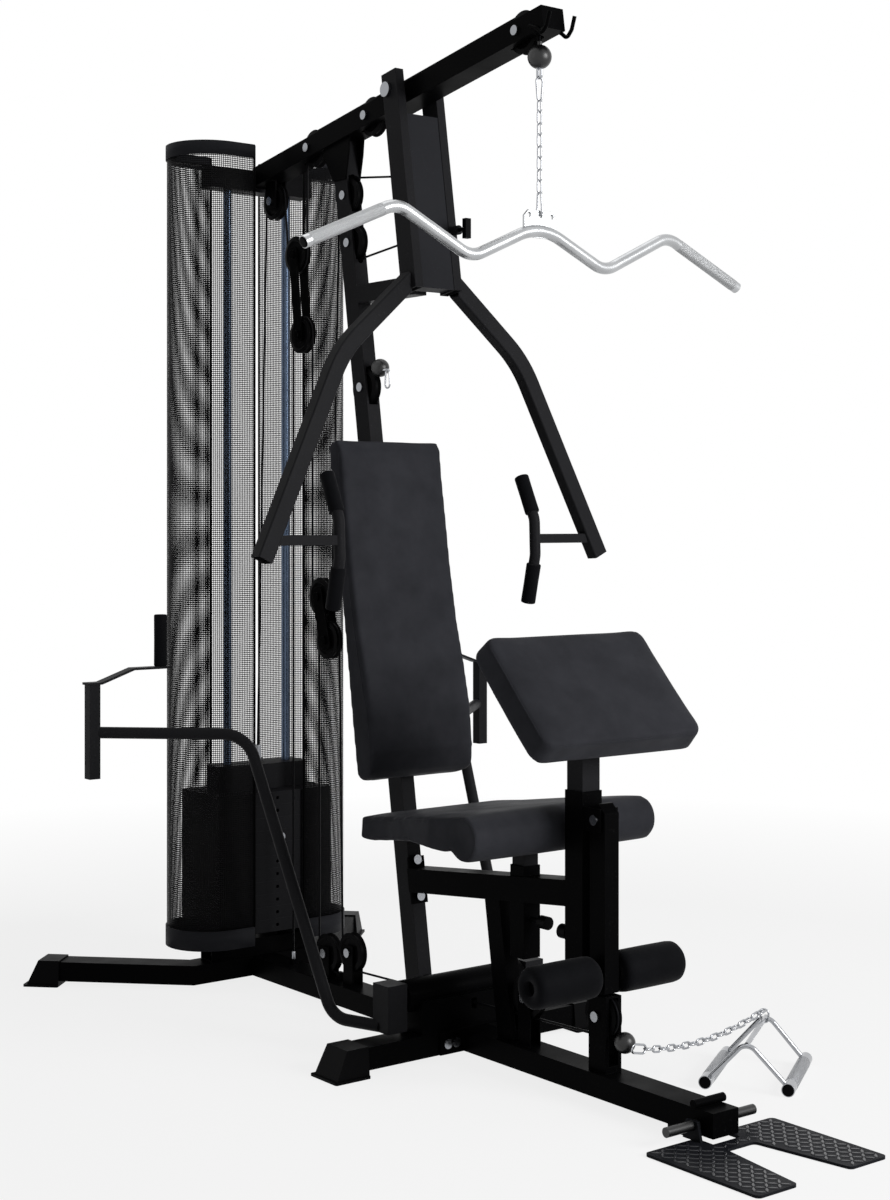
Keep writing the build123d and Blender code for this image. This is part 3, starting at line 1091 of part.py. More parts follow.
# ---------------------------------------------------------------- seat and back pad
SEAT_SLOPE = 7.6
with BuildPart() as seat_pad:
    # side outline: flat cushion that rolls down over its front edge
    slope = tan(radians(SEAT_SLOPE))
    rear_y, roll_y = 50.0, -362.0
    rear_top = 486.0
    roll_radius = 44.0
    roll_z = rear_top + (rear_y - roll_y) * slope - roll_radius / cos(radians(SEAT_SLOPE))
    with BuildSketch(side_plane(-SEAT_FRONT_HALF, 0, 0)):
        with BuildLine():
            Polyline((rear_y, 441), (rear_y, rear_top), (roll_y, rear_top + (rear_y - roll_y) * slope),
                     (roll_y, roll_z), (-300, 463.6), (SEAT_POST_Y + 110.5, 463.6), (rear_y - 40, 441), close=True)
        make_face()
        with Locations((roll_y, roll_z)):
            Circle(roll_radius)
    extrude(amount=2 * SEAT_FRONT_HALF)
    # plan outline: narrower at the back
    with BuildSketch() as plan:
        with BuildLine():
            Polyline((-SEAT_REAR_HALF, rear_y + 1), (SEAT_REAR_HALF, rear_y + 1), (SEAT_REAR_HALF + 4, -60),
                     (SEAT_FRONT_HALF, -250), (SEAT_FRONT_HALF, -420), (-SEAT_FRONT_HALF, -420),
                     (-SEAT_FRONT_HALF, -250), (-SEAT_REAR_HALF - 4, -60), close=True)
        make_face()
    extrude(plan.sketch, amount=900, mode=Mode.INTERSECT)
write(seat_pad, "seat_pad")

with BuildPart() as back_pad:
    length = (BACK_PAD_TOP - BACK_PAD_BOTTOM) / cos(radians(UPRIGHT_LEAN))
    back_face = upright_front(BACK_PAD_BOTTOM) - 6
    base = Plane((0, back_face, BACK_PAD_BOTTOM), x_dir=(0, -1, 0), z_dir=(1, 0, 0))
    lean = radians(UPRIGHT_LEAN)
    # side outline in (forward, up) measured along the leaning back
    outline = [(0, 0), (34, 0), (52, 14), (64, 60), (68, 140), (62, 230), (51, 330), (46, 450), (45, length - 22),
               (34, length), (0, length)]
    turned = [(f * cos(lean) - u * sin(lean), u * cos(lean) + f * sin(lean)) for f, u in outline]
    with BuildSketch(Plane((-BACK_PAD_HALF, back_face, BACK_PAD_BOTTOM), x_dir=(0, -1, 0), z_dir=(-1, 0, 0))) as section:
        with BuildLine():
            Polyline(*turned, close=True)
        make_face()
    extrude(section.sketch, amount=-2 * BACK_PAD_HALF)
    fillet(back_pad.edges().filter_by(lambda e: e.length > 60).filter_by(Axis.X).sort_by(Axis.Z)[-1:], radius=6)
write(back_pad, "back_pad")

# ---------------------------------------------------------------- cables
def press_back(z):
    """Where a press cable meets the cross bar behind the cover."""
    return press_front(z) + PRESS_POST_DEPTH - 6 + 4 * GAP


CRUNCH_BALL_RADIUS = 20.0
CRUNCH_BALL_Y = CRUNCH_PULLEY[0] - 50.5
LOW_BALL_RADIUS = 20.0
LOW_BALL = (-556.0, LOW_PULLEY[1] - CABLE_PITCH_RADIUS)
ROW_NEAR_X = 244.0
ROW_NEAR_Y = -635.0
ROW_FAR_X = 426.0
ROW_FAR_Y = -516.0
ROW_APEX_Z = 100.0
ROW_SAG = 26.0
ROW_GRIP_RADIUS = 13.0


LAT_STOPS = [
    (LAT_Y, STOP_BALL_Z + BALL_RADIUS + 6 + GAP, 0),
    (*LAT_PULLEY, -1),
    (*BEAM_REAR_PULLEY, -1),
    (*STRAP_UPPER_PULLEY, 1),
    (*TOWER_PULLEY, -1),
    (TOWER_Y - 4, EYE_Z + 8.2, 0),
]

with BuildPart() as cables:
    # from the stop ball over the beam's pulleys, round the strap block and over the tower pulley
    cable(LAT_STOPS, last_run=False)
    # from the base over the strap block's lower pulley, under the back block and up to the press arms
    cable([
        (*STRAP_ANCHOR, 0),
        (*STRAP_LOWER_PULLEY, 1),
        (*BACK_UPPER_PULLEY, -1),
        (*PRESS_UPPER_PULLEY, 1),
        (press_back(PRESS_UPPER_Z + 10), PRESS_UPPER_Z + 10, 0),
    ])
    cable([
        (press_back(PRESS_LOWER_Z - 15), PRESS_LOWER_Z - 15, 0),
        (*PRESS_LOWER_PULLEY, 1),
        (PRESS_LOWER_PULLEY[0] + CABLE_PITCH_RADIUS, PRESS_LOWER_PULLEY[1] + 25, 0),
    ])
    # over the waist pulley, from its stop ball
    cable([
        (CRUNCH_BALL_Y + CRUNCH_BALL_RADIUS + GAP, CRUNCH_PULLEY[1] + CABLE_PITCH_RADIUS, 0),
        (*CRUNCH_PULLEY, -1),
        (CRUNCH_PULLEY[0] + CABLE_PITCH_RADIUS, CRUNCH_PULLEY[1] - 20, 0),
    ])
    # from the low pulley under the base pulleys, over the back block and down to the base
    cable([
        (LOW_BALL[0] + LOW_BALL_RADIUS + GAP, LOW_BALL[1], 0),
        (*LOW_PULLEY, 1),
        (*BASE_MID_PULLEY, 1),
        (*BASE_FRONT_PULLEY, 1),
        (*BACK_LOWER_PULLEY, -1),
        (*BASE_REAR_PULLEY, -1),
        (LOW_ANCHOR[0] + 7, BASE_REAR_PULLEY[1] - CABLE_PITCH_RADIUS, 0),
    ])
write(cables, "cables")

with BuildPart() as stack_drop_cable:
    top, bottom = tangent_points(LAT_STOPS)[4][1], LAT_STOPS[-1][:2]
    round_tube([(0, top[0], top[1] - 0.4), (0, *bottom)], None, CABLE_RADIUS)
write(stack_drop_cable, "stack_drop_cable")

# ---------------------------------------------------------------- waist ball and low row handle
with BuildPart() as crunch_link:
    ball_z = CRUNCH_PULLEY[1] + CABLE_PITCH_RADIUS
    with Locations((0, CRUNCH_BALL_Y, ball_z)):
        Sphere(CRUNCH_BALL_RADIUS)
    # the eye at the front of the ball, and the oval clip that hangs in it
    eye_y, eye_z = CRUNCH_BALL_Y - CRUNCH_BALL_RADIUS + 1, ball_z - 6
    add(chain_link(Plane((0, eye_y, eye_z), x_dir=(1, 0, 0), z_dir=(0, 0, 1)), 16, 2.6, 5.5))
    add(chain_link(Plane((0, eye_y - 8, eye_z - 19.5), x_dir=(0, 1, 0), z_dir=(1, 0, 0)), 40, 1.9, 8.5, 6.5))
write(crunch_link, "crunch_link")


ROW_BAR = Vector(ROW_NEAR_X - ROW_FAR_X, ROW_NEAR_Y - ROW_FAR_Y, 0).normalized()
ROW_RING = Vector(ROW_FAR_X, ROW_FAR_Y, ROW_APEX_Z - 8 + 5.8) + ROW_BAR * 15


def row_chain_point(t):
    """Point of the slack chain from the stop ball to the row handle, t from 0 to 1."""
    start = Vector(0, LOW_BALL[0] - LOW_BALL_RADIUS + 1, LOW_BALL[1] - 6)
    end = ROW_RING + Vector(0, 0, 13)
    sag = Vector(0, 0, -ROW_SAG * 4 * t * (1 - t))
    return start + (end - start) * t + sag


with BuildPart() as low_chain:
    with Locations((0, LOW_BALL[0], LOW_BALL[1])):
        Sphere(LOW_BALL_RADIUS)
    lengths = [0.0]
    steps = 400
    for index in range(steps):
        run = row_chain_point((index + 1) / steps) - row_chain_point(index / steps)
        lengths.append(lengths[-1] + run.length)
    # a clip in the eye of the ball, then links, and a ring round the bar of the handle
    clip = 40.0
    count = int((lengths[-1] - clip) / LINK_PITCH)
    pitch = (lengths[-1] - clip) / count
    for index in range(count + 1):
        target = clip / 2 if index == 0 else clip + (index - 0.5) * pitch
        t = next(i for i, reached in enumerate(lengths) if reached >= target) / steps
        along = (row_chain_point(t + 0.01) - row_chain_point(t - 0.01)).normalized()
        flat = Vector(0, 0, 1).cross(along).normalized()
        facing = flat if index % 2 == 0 else along.cross(flat)
        plane = Plane(row_chain_point(t), x_dir=along.cross(facing), z_dir=facing)
        if index == 0:
            add(chain_link(plane, clip + 0.5, 2.3, 8.0))
        else:
            add(chain_link(plane, pitch + 0.5))
    add(chain_link(Plane(ROW_RING, x_dir=ROW_BAR.cross(Vector(0, 0, 1)), z_dir=ROW_BAR), 26, 2.0, 8.0))
write(low_chain, "low_chain")

with BuildPart() as row_handle:
    # two grips on the floor, a bent rod over each pair of ends, and a bar that joins the rods
    first = (Vector(198, -569, ROW_GRIP_RADIUS), Vector(382, -451, ROW_GRIP_RADIUS))
    second = (Vector(286, -702, ROW_GRIP_RADIUS), Vector(476, -578, ROW_GRIP_RADIUS))
    for near, far in (first, second):
        with BuildSketch(Plane(origin=near, z_dir=far - near)) as grip:
            Circle(ROW_GRIP_RADIUS)
        extrude(grip.sketch, amount=(far - near).length)
    apexes = (Vector(ROW_NEAR_X, ROW_NEAR_Y, ROW_APEX_Z), Vector(ROW_FAR_X, ROW_FAR_Y, ROW_APEX_Z))
    for end, inset, apex in ((0, 14, apexes[0]), (1, -14, apexes[1])):
        direction = (first[1] - first[0]).normalized()
        legs = [row[end] + direction * inset for row in (first, second)]
        round_tube([tuple(legs[0]), tuple(apex), tuple(legs[1])], [22], 5.0)
    with BuildSketch(Plane(origin=apexes[0] - Vector(0, 0, 8), z_dir=apexes[1] - apexes[0])) as rod:
        Circle(5)
    extrude(rod.sketch, amount=(apexes[1] - apexes[0]).length)
write(row_handle, "row_handle")

# ---------------------------------------------------------------- bolts and axles
with BuildPart() as frame_bolts:
    flange_half = BASE_WIDTH / 2 + FLANGE
    for x in BASE_BOLTS_X:
        y_rod(BOLT_RADIUS, MID_BAR_Y - flange_half, MID_BAR_Y + flange_half, x, BASE_MID_Z)
        y_rod(2 * BOLT_RADIUS, MID_BAR_Y - flange_half - 6, MID_BAR_Y - flange_half, x, BASE_MID_Z)
        y_rod(2 * BOLT_RADIUS, MID_BAR_Y + flange_half, MID_BAR_Y + flange_half + 6, x, BASE_MID_Z)
    for y, z in (LAT_PULLEY, BEAM_MID_PULLEY, BEAM_REAR_PULLEY):
        x_bolt(BEAM_WIDTH / 2, y, z)
    x_bolt(PULLEY_WIDTH / 2 + 5.5, *TOWER_PULLEY)
    for y, z in (PRESS_UPPER_PULLEY, PRESS_LOWER_PULLEY, CRUNCH_PULLEY):
        x_bolt(UPRIGHT_WIDTH / 2, y, z)
    for y, z in (BASE_REAR_PULLEY, BASE_FRONT_PULLEY, BASE_MID_PULLEY):
        x_bolt(CHEEK_X + CHEEK, y, z)
    x_bolt(20, *LOW_PULLEY)
    for z in SEAT_BOLTS_Z:
        front, rear = -UPRIGHT_DEPTH / 2 - FLANGE - 2 * FIT, UPRIGHT_DEPTH / 2 + FIT
        across_upright(BOLT_RADIUS, z, front, rear)
        across_upright(2 * BOLT_RADIUS, z, front - 6, front)
        across_upright(2 * BOLT_RADIUS, z, rear, rear + 6)
    # pivots of the press frame, the leg lever, the rear arms and the foot plate
    x_bolt(PRESS_POST_X + PRESS_POST_WIDTH / 2 + GAP, PRESS_PIVOT_Y, PRESS_PIVOT_Z, radius=8.0)
    x_bolt(LEVER_WIDTH / 2 + 1 + LEVER_EAR, LEVER_PIVOT_Y, LEVER_PIVOT_Z)
    x_rod(AXLE_RADIUS, -HUB_OUT + 10, HUB_OUT - 10, AXLE_Y, AXLE_Z)
    x_rod(FOOT_ROD_RADIUS, -110, 110, FOOT_ROD_Y, 30)
write(frame_bolts, "frame_bolts")
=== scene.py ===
"""Looks of a multi station home gym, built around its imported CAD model.

The cushions, rollers, grips, mesh shrouds, cables, knurled sleeves and tread are modelled here. The tubes,
plates, pulleys and chains stay as the CAD has them and get their finishes.
"""

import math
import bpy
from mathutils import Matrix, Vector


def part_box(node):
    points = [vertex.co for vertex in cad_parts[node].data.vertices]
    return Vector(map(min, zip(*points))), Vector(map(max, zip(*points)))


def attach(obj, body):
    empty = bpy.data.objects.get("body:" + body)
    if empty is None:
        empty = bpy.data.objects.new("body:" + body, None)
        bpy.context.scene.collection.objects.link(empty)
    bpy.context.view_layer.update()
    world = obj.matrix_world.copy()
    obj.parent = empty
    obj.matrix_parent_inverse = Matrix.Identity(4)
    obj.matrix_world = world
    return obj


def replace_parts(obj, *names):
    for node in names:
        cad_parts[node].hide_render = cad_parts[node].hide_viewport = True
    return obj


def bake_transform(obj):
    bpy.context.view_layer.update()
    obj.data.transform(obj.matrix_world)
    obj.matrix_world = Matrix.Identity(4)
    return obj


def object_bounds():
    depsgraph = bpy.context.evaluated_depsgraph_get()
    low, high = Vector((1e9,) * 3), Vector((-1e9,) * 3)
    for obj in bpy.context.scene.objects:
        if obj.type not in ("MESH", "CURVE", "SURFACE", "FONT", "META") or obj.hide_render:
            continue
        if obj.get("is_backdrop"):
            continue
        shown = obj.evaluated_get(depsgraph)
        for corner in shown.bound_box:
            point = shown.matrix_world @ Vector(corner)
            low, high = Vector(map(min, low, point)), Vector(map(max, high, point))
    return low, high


bl_info = {
    "name": "Home Gym Looks",
    "version": (1, 0, 0),
    "blender": (4, 5, 0),
    "location": "View3D > Sidebar > Home Gym",
    "description": "Cushions, shrouds, cables, grips and finishes of a multi station home gym",
    "category": "Object",
}

import bmesh
import bpy
import numpy as np
from bpy.props import FloatProperty, FloatVectorProperty, PointerProperty
from mathutils import Matrix, Vector
from mathutils.bvhtree import BVHTree

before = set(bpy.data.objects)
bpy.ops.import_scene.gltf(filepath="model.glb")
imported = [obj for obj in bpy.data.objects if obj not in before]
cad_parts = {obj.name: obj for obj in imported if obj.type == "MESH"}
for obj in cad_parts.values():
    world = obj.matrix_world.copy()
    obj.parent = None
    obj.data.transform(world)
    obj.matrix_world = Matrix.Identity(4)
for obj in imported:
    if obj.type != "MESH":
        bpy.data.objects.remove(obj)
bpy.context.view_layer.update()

# lean of the upright with its back pad, and slope of the curl pad
UPRIGHT_LEAN = math.radians(8.8)
CURL_TILT = math.radians(46.7)
BACK_CORNER, CURL_CORNER = 0.026, 0.022
CUSHION_SMOOTHING, SWELL_SMOOTHING = 5, 24

# stop balls: the lat ball's coating covers its eye too, and the low ball stands ahead of its pulley
BALL_RADIUS = 0.0203
BALL_FIT = 0.0004
LAT_EYE = 0.013
LOW_BALL_AHEAD = 0.059

# where cables end, as (y, z) in metres
STRAP_ANCHOR = (0.5732, 0.070)
FERRULE_RISE = 0.008
BASE_ANCHOR_Y = 0.388
PRESS_PIVOT = (0.114, 2.012)
PRESS_BACK = 0.0122
PRESS_ANCHORS_Z = (1.833, 1.7)
CABLE_FIT = 0.0003

# shroud halves
TOP_BAND, BOTTOM_BAND, BAND_LAP = 0.032, 0.045, 0.004
BAND_THICKNESS, BAND_OUTSET = 0.0042, 0.003
HEM_RADIUS, HEM_INSET = 0.0028, 0.002
SHEET_INSET = 0.003

# straight ends of the lat bar as (x, z), and the two grips of the row handle as (x, y)
LAT_END, LAT_PEAK = (0.556, 1.595), (0.349, 1.686)
LAT_BAR_RADIUS = 0.012
ROW_GRIPS = (((0.198, -0.569), (0.382, -0.451)), ((0.286, -0.702), (0.476, -0.578)))
ROW_GRIP_RADIUS = 0.013
PLUG_GAP = 0.0015

# foot plate: its depth, its front notch, the bare place of its ears and rear notch, and its marks
PLATE_DEPTH, PLATE_THICKNESS = 0.268, 0.005
NOTCH_DEPTH, NOTCH_FRONT, NOTCH_BACK = 0.192, 0.066, 0.035
BARE_DEPTH, BARE_HALF = 0.050, 0.053
MARK_LENGTH, MARK_WIDTH = 0.0090, 0.0029
MARK_ROWS = 0.72

# floor: its colour, and how its glow rises from under the machine to its edge
FLOOR_TONE = (0.86, 0.86, 0.86, 1.0)
FLOOR_RADIUS, FLOOR_DROP = 40.0, 0.0005
GLOW_RADII, GLOW_LOW = (1.6, 3.6), 0.82

# place, aim, side and share of the lamp power
LAMPS = {
    "key_lamp": ((1.6, -4.6, 2.3), (0, 0, 1.0), 2.2, 1.75),
    "fill_lamp": ((-4.2, 0.4, 2.4), (0, 0, 0.9), 2.6, 0.07),
    "top_lamp": ((0.2, 0.6, 4.6), (0, 0, 0.8), 2.4, 0.16),
}


# ---------------------------------------------------------------- sizes and colours
def length(name, description, default):
    """A length setting in metres."""
    return FloatProperty(name=name, description=description, default=default, min=0.0, unit="LENGTH", precision=4)


def colour(name, description, default):
    """A colour setting."""
    return FloatVectorProperty(name=name, description=description, default=default, size=3, min=0.0, max=1.0,
                               subtype="COLOR")


class GymSizes(bpy.types.PropertyGroup):
    """Sizes of the pieces that are modelled here."""

    cushion_voxel: length("Cushion voxel", "Size of the cells that a cushion is remeshed to", 0.006)
    cushion_swell: length("Cushion swell", "Most that a cushion may swell", 0.005)
    cushion_inset: length("Cushion inset", "How much smaller a cushion starts before it swells", 0.0020)
    welt_radius: length("Welt radius", "Radius of the piping along a cushion's seams", 0.0014)
    mesh_pitch: length("Mesh pitch", "Distance between the holes of the shroud mesh", 0.0046)
    mesh_hole: length("Mesh hole", "Radius of a hole in the shroud mesh", 0.0016)
    sheet_thickness: length("Shroud thickness", "Thickness of the perforated sheet", 0.0005)
    cable_radius: length("Cable radius", "Radius of a sheathed cable", 0.0024)
    cable_run: length("Cable run", "Distance of a cable's middle from a pulley's axle", 0.0402)
    knurl_pitch: length("Knurl pitch", "Distance between the grooves of a knurled grip", 0.0022)
    tread_pitch: length("Tread pitch", "Distance between the raised marks of the foot plate", 0.021)
    tread_height: length("Tread height", "Height of a raised mark on the foot plate", 0.0012)


class GymColours(bpy.types.PropertyGroup):
    """Colours of the finishes."""

    paint: colour("Frame paint", "Black powder coat of the frame", (0.0016, 0.0016, 0.0018))
    satin_paint: colour("Satin paint", "Dark satin coat of the upright and the arms", (0.015, 0.015, 0.0165))
    panel: colour("Panel paint", "Dark satin coat of the cover panel", (0.020, 0.0205, 0.0235))
    casting: colour("Weight plates", "Coated iron of the weight plates", (0.0120, 0.0120, 0.0132))
    mesh: colour("Mesh shroud", "Coated perforated sheet", (0.006, 0.006, 0.0065))
    vinyl: colour("Vinyl", "Cover of the cushions", (0.0300, 0.0307, 0.0360))
    foam: colour("Foam", "Grips and rollers", (0.0050, 0.0052, 0.0062))
    plastic: colour("Plastic", "Pulleys, caps, feet and knobs", (0.0022, 0.0022, 0.0025))
    sheath: colour("Cable sheath", "Sheath of the cables", (0.006, 0.006, 0.007))
    chrome: colour("Chrome", "Chains and row handle", (0.40, 0.41, 0.43))
    satin: colour("Satin steel", "Lat bar", (0.50, 0.51, 0.52))
    zinc: colour("Zinc", "Bolts, nuts and pins", (0.30, 0.31, 0.33))
    rods: colour("Guide rods", "Ground steel of the guide rods", (0.10, 0.135, 0.20))
    tread: colour("Tread plate", "Coated tread plate", (0.010, 0.0105, 0.013))


class GymStage(bpy.types.PropertyGroup):
    """Camera, floor and light."""

    camera_place: FloatVectorProperty(name="Camera place", description="Where the camera stands",
                                      default=(-2.439, -3.162, 1.0992), size=3, subtype="TRANSLATION", unit="LENGTH")
    camera_turn: FloatProperty(name="Camera turn", description="Heading of the camera about the vertical",
                               default=math.radians(-37.7), subtype="ANGLE", unit="ROTATION")
    camera_lens: FloatProperty(name="Lens", description="Focal length for a 36 mm sensor, in millimetres",
                               default=57.05, min=1.0)
    camera_drop: FloatProperty(name="Shift", description="Vertical shift of the lens", default=-0.0677)
    daylight: FloatProperty(name="Room light", description="Strength of the even light from all sides", default=0.16,
                            min=0.0)
    lamp_power: FloatProperty(name="Lamp power", description="Power of the main lamp in watts", default=110.0, min=0.0)


def sizes():
    return bpy.context.scene.gym_sizes


def colours():
    return bpy.context.scene.gym_colours


# ---------------------------------------------------------------- shader building
def place(tree, kind, values=None, **fields):
    """Adds a shader node, sets its fields, and sets or links its inputs."""
    made = tree.nodes.new("ShaderNode" + kind)
    for field, value in fields.items():
        setattr(made, field, value)
    for socket, value in (values or {}).items():
        if isinstance(value, bpy.types.NodeSocket):
            tree.links.new(value, made.inputs[socket])
        else:
            made.inputs[socket].default_value = value
    return made


def math_node(tree, operation, first, second=0.0):
    """One step of arithmetic, as the socket of its result."""
    return place(tree, "Math", {0: first, 1: second}, operation=operation).outputs[0]


def remap(tree, value, low, high, to_low=0.0, to_high=1.0):
    """The value carried from one range to another, clamped."""
    return place(tree, "MapRange", {"Value": value, "From Min": low, "From Max": high, "To Min": to_low,
                                    "To Max": to_high}).outputs["Result"]


def mix_colour(tree, mask, first, second):
    """Two colours mixed by a mask."""
    made = place(tree, "Mix", {"Factor": mask}, data_type="RGBA")
    for socket, value in ((made.inputs[6], first), (made.inputs[7], second)):
        if isinstance(value, bpy.types.NodeSocket):
            tree.links.new(value, socket)
        else:
            socket.default_value = (*value[:3], 1.0)
    return made.outputs[2]


def start_group(name, inputs, outputs):
    """An empty shader node group with named number inputs and outputs."""
    group = bpy.data.node_groups.new(name, "ShaderNodeTree")
    for title, default in inputs:
        socket = group.interface.new_socket(title, in_out="INPUT", socket_type="NodeSocketFloat")
        socket.default_value = default
    for title, kind in outputs:
        group.interface.new_socket(title, in_out="OUTPUT", socket_type=kind)
    return group, group.nodes.new("NodeGroupInput"), group.nodes.new("NodeGroupOutput")


def noise(tree, where, scale, detail=3.0, rough=0.5):
    """Noise over the object, about 0.5 in the middle."""
    return place(tree, "TexNoise", {"Vector": where, "Scale": scale, "Detail": detail, "Roughness": rough}).outputs[0]


def coat_group():
    """Powder coat: fine orange peel, sparse pale specks and broad changes of sheen."""
    group, given, result = start_group("powder_coat", [("Grain Scale", 700.0), ("Speck Amount", 0.5)],
                                       [("Specks", "NodeSocketFloat"), ("Sheen", "NodeSocketFloat"),
                                        ("Height", "NodeSocketFloat")])
    where = place(group, "TexCoord").outputs["Object"]
    grain = noise(group, where, given.outputs["Grain Scale"], 2.0)
    specks = remap(group, noise(group, where, 380.0, 1.0), 0.66, 0.74)
    patches = remap(group, noise(group, where, 26.0, 3.0), 0.35, 0.7)
    specks = math_node(group, "MULTIPLY", math_node(group, "MULTIPLY", specks, patches), given.outputs["Speck Amount"])
    group.links.new(specks, result.inputs["Specks"])
    group.links.new(noise(group, where, 9.0, 4.0), result.inputs["Sheen"])
    group.links.new(grain, result.inputs["Height"])
    return group


def edge_group():
    """Worn and highlit edges: a mask where the surface turns, which lightens edges partly as wear and partly as a
    painted highlight, and the normal of a softly rounded edge.
    """
    group, given, result = start_group("worn_and_highlit_edges", [("Radius", 0.0015), ("Wear", 0.5)],
                                       [("Mask", "NodeSocketFloat"), ("Normal", "NodeSocketVector")])
    rounded = place(group, "Bevel", {"Radius": given.outputs["Radius"]}, samples=4).outputs[0]
    plain = place(group, "NewGeometry").outputs["Normal"]
    turn = place(group, "VectorMath", {0: rounded, 1: plain}, operation="DOT_PRODUCT").outputs["Value"]
    edge = remap(group, turn, 0.995, 0.85)
    patches = remap(group, noise(group, place(group, "TexCoord").outputs["Object"], 40.0, 4.0), 0.35, 0.65)
    mask = math_node(group, "MULTIPLY", math_node(group, "MULTIPLY", edge, patches), given.outputs["Wear"])
    group.links.new(mask, result.inputs["Mask"])
    group.links.new(rounded, result.inputs["Normal"])
    return group


def grain_group():
    """Pebbled grain of vinyl and of skinned foam."""
    group, given, result = start_group("vinyl_grain", [("Scale", 900.0), ("Creases", 0.5)],
                                       [("Height", "NodeSocketFloat"), ("Tone", "NodeSocketFloat")])
    where = place(group, "TexCoord").outputs["Object"]
    pebbles = place(group, "TexVoronoi", {"Vector": where, "Scale": given.outputs["Scale"]}, feature="F1").outputs[0]
    soft = noise(group, where, 35.0, 5.0, 0.6)
    height = math_node(group, "ADD", math_node(group, "MULTIPLY", pebbles, 0.35),
                       math_node(group, "MULTIPLY", soft, given.outputs["Creases"]))
    group.links.new(height, result.inputs["Height"])
    group.links.new(noise(group, where, 14.0, 5.0, 0.6), result.inputs["Tone"])
    return group


def hole_group():
    """Round holes in a square pattern over a sheet whose UV map is in metres."""
    group, given, result = start_group("perforation", [("Pitch", 0.005), ("Hole Radius", 0.0018)],
                                       [("Sheet", "NodeSocketFloat")])
    split = place(group, "SeparateXYZ", {0: place(group, "UVMap", uv_map="sheet").outputs[0]})
    across = []
    for axis in (0, 1):
        cell = math_node(group, "DIVIDE", split.outputs[axis], given.outputs["Pitch"])
        cell = math_node(group, "SUBTRACT", math_node(group, "FRACT", cell), 0.5)
        across.append(math_node(group, "MULTIPLY", cell, given.outputs["Pitch"]))
    reach = math_node(group, "SQRT", math_node(group, "ADD", math_node(group, "MULTIPLY", across[0], across[0]),
                                               math_node(group, "MULTIPLY", across[1], across[1])))
    group.links.new(math_node(group, "GREATER_THAN", reach, given.outputs["Hole Radius"]), result.inputs["Sheet"])
    return group


def knurl_group():
    """Crossed diagonal grooves over a sleeve whose UV map is in metres."""
    group, given, result = start_group("knurling", [("Pitch", 0.0022)], [("Height", "NodeSocketFloat")])
    split = place(group, "SeparateXYZ", {0: place(group, "UVMap", uv_map="sheet").outputs[0]})
    turns = math_node(group, "DIVIDE", 2 * math.pi, given.outputs["Pitch"])
    waves = []
    for operation in ("ADD", "SUBTRACT"):
        slant = math_node(group, operation, split.outputs[0], split.outputs[1])
        wave = math_node(group, "SINE", math_node(group, "MULTIPLY", slant, turns))
        waves.append(math_node(group, "ABSOLUTE", wave))
    group.links.new(math_node(group, "MULTIPLY", waves[0], waves[1]), result.inputs["Height"])
    return group


EFFECTS = {"powder_coat": coat_group, "worn_and_highlit_edges": edge_group, "vinyl_grain": grain_group,
           "perforation": hole_group, "knurling": knurl_group}


def effect(tree, name, **values):
    """Places a shared effect in a material, with its own values."""
    made = tree.nodes.new("ShaderNodeGroup")
    made.node_tree = bpy.data.node_groups.get(name) or EFFECTS[name]()
    for title, value in values.items():
        made.inputs[title.replace("_", " ")].default_value = value
    return made.outputs


def start_material(name):
    """A material with only its Principled shader, and that shader."""
    made = bpy.data.materials.new("gym_" + name)
    made.use_nodes = True
    shader = made.node_tree.nodes["Principled BSDF"]
    return made, made.node_tree, shader


def bump(tree, shader, height, strength, distance, normal=None):
    """Feeds a height into the shader's normal."""
    values = {"Height": height, "Strength": strength, "Distance": distance}
    if normal is not None:
        values["Normal"] = normal
    tree.links.new(place(tree, "Bump", values).outputs[0], shader.inputs["Normal"])


def coated(name, tint, rough, specks=0.5, grain=700.0, peel=0.00006, wear_and_highlight=0.35, edge=0.0015, gloss=1.1):
    """A coated or moulded surface with orange peel, specks, and edges lightened partly as wear and partly as a painted
    highlight.
    """
    made, tree, shader = start_material(name)
    coat = effect(tree, "powder_coat", Grain_Scale=grain, Speck_Amount=specks)
    edges = effect(tree, "worn_and_highlit_edges", Radius=edge, Wear=wear_and_highlight)
    tint = tuple(tint)
    # pale edge colour: partly wear, partly a painted highlight along the edges
    pale = tuple(min(1.0, c * 3 + 0.012) for c in tint)
    base = mix_colour(tree, coat["Specks"], tint, tuple(c * 5 + 0.015 for c in tint))
    tree.links.new(mix_colour(tree, edges["Mask"], base, pale), shader.inputs["Base Color"])
    tree.links.new(remap(tree, coat["Sheen"], 0.3, 0.7, rough - 0.07, rough + 0.07), shader.inputs["Roughness"])
    shader.inputs["IOR"].default_value = gloss
    bump(tree, shader, coat["Height"], 0.6, peel, edges["Normal"])
    return made


def metal(name, tint, rough, grain=350.0, edge=0.0006, depth=0.00002):
    """Bare or plated metal with fine scratches and slightly uneven polish."""
    made, tree, shader = start_material(name)
    where = place(tree, "TexCoord").outputs["Object"]
    scratches = noise(tree, where, grain, 4.0, 0.7)
    clouds = noise(tree, where, 18.0, 4.0)
    tree.links.new(mix_colour(tree, remap(tree, clouds, 0.3, 0.7), tuple(c * 0.8 for c in tint), tuple(tint)),
                   shader.inputs["Base Color"])
    tree.links.new(remap(tree, scratches, 0.3, 0.7, rough - 0.05, rough + 0.06), shader.inputs["Roughness"])
    shader.inputs["Metallic"].default_value = 1.0
    edges = effect(tree, "worn_and_highlit_edges", Radius=edge, Wear=0.0)
    bump(tree, shader, scratches, 0.3, depth, edges["Normal"])
    return made


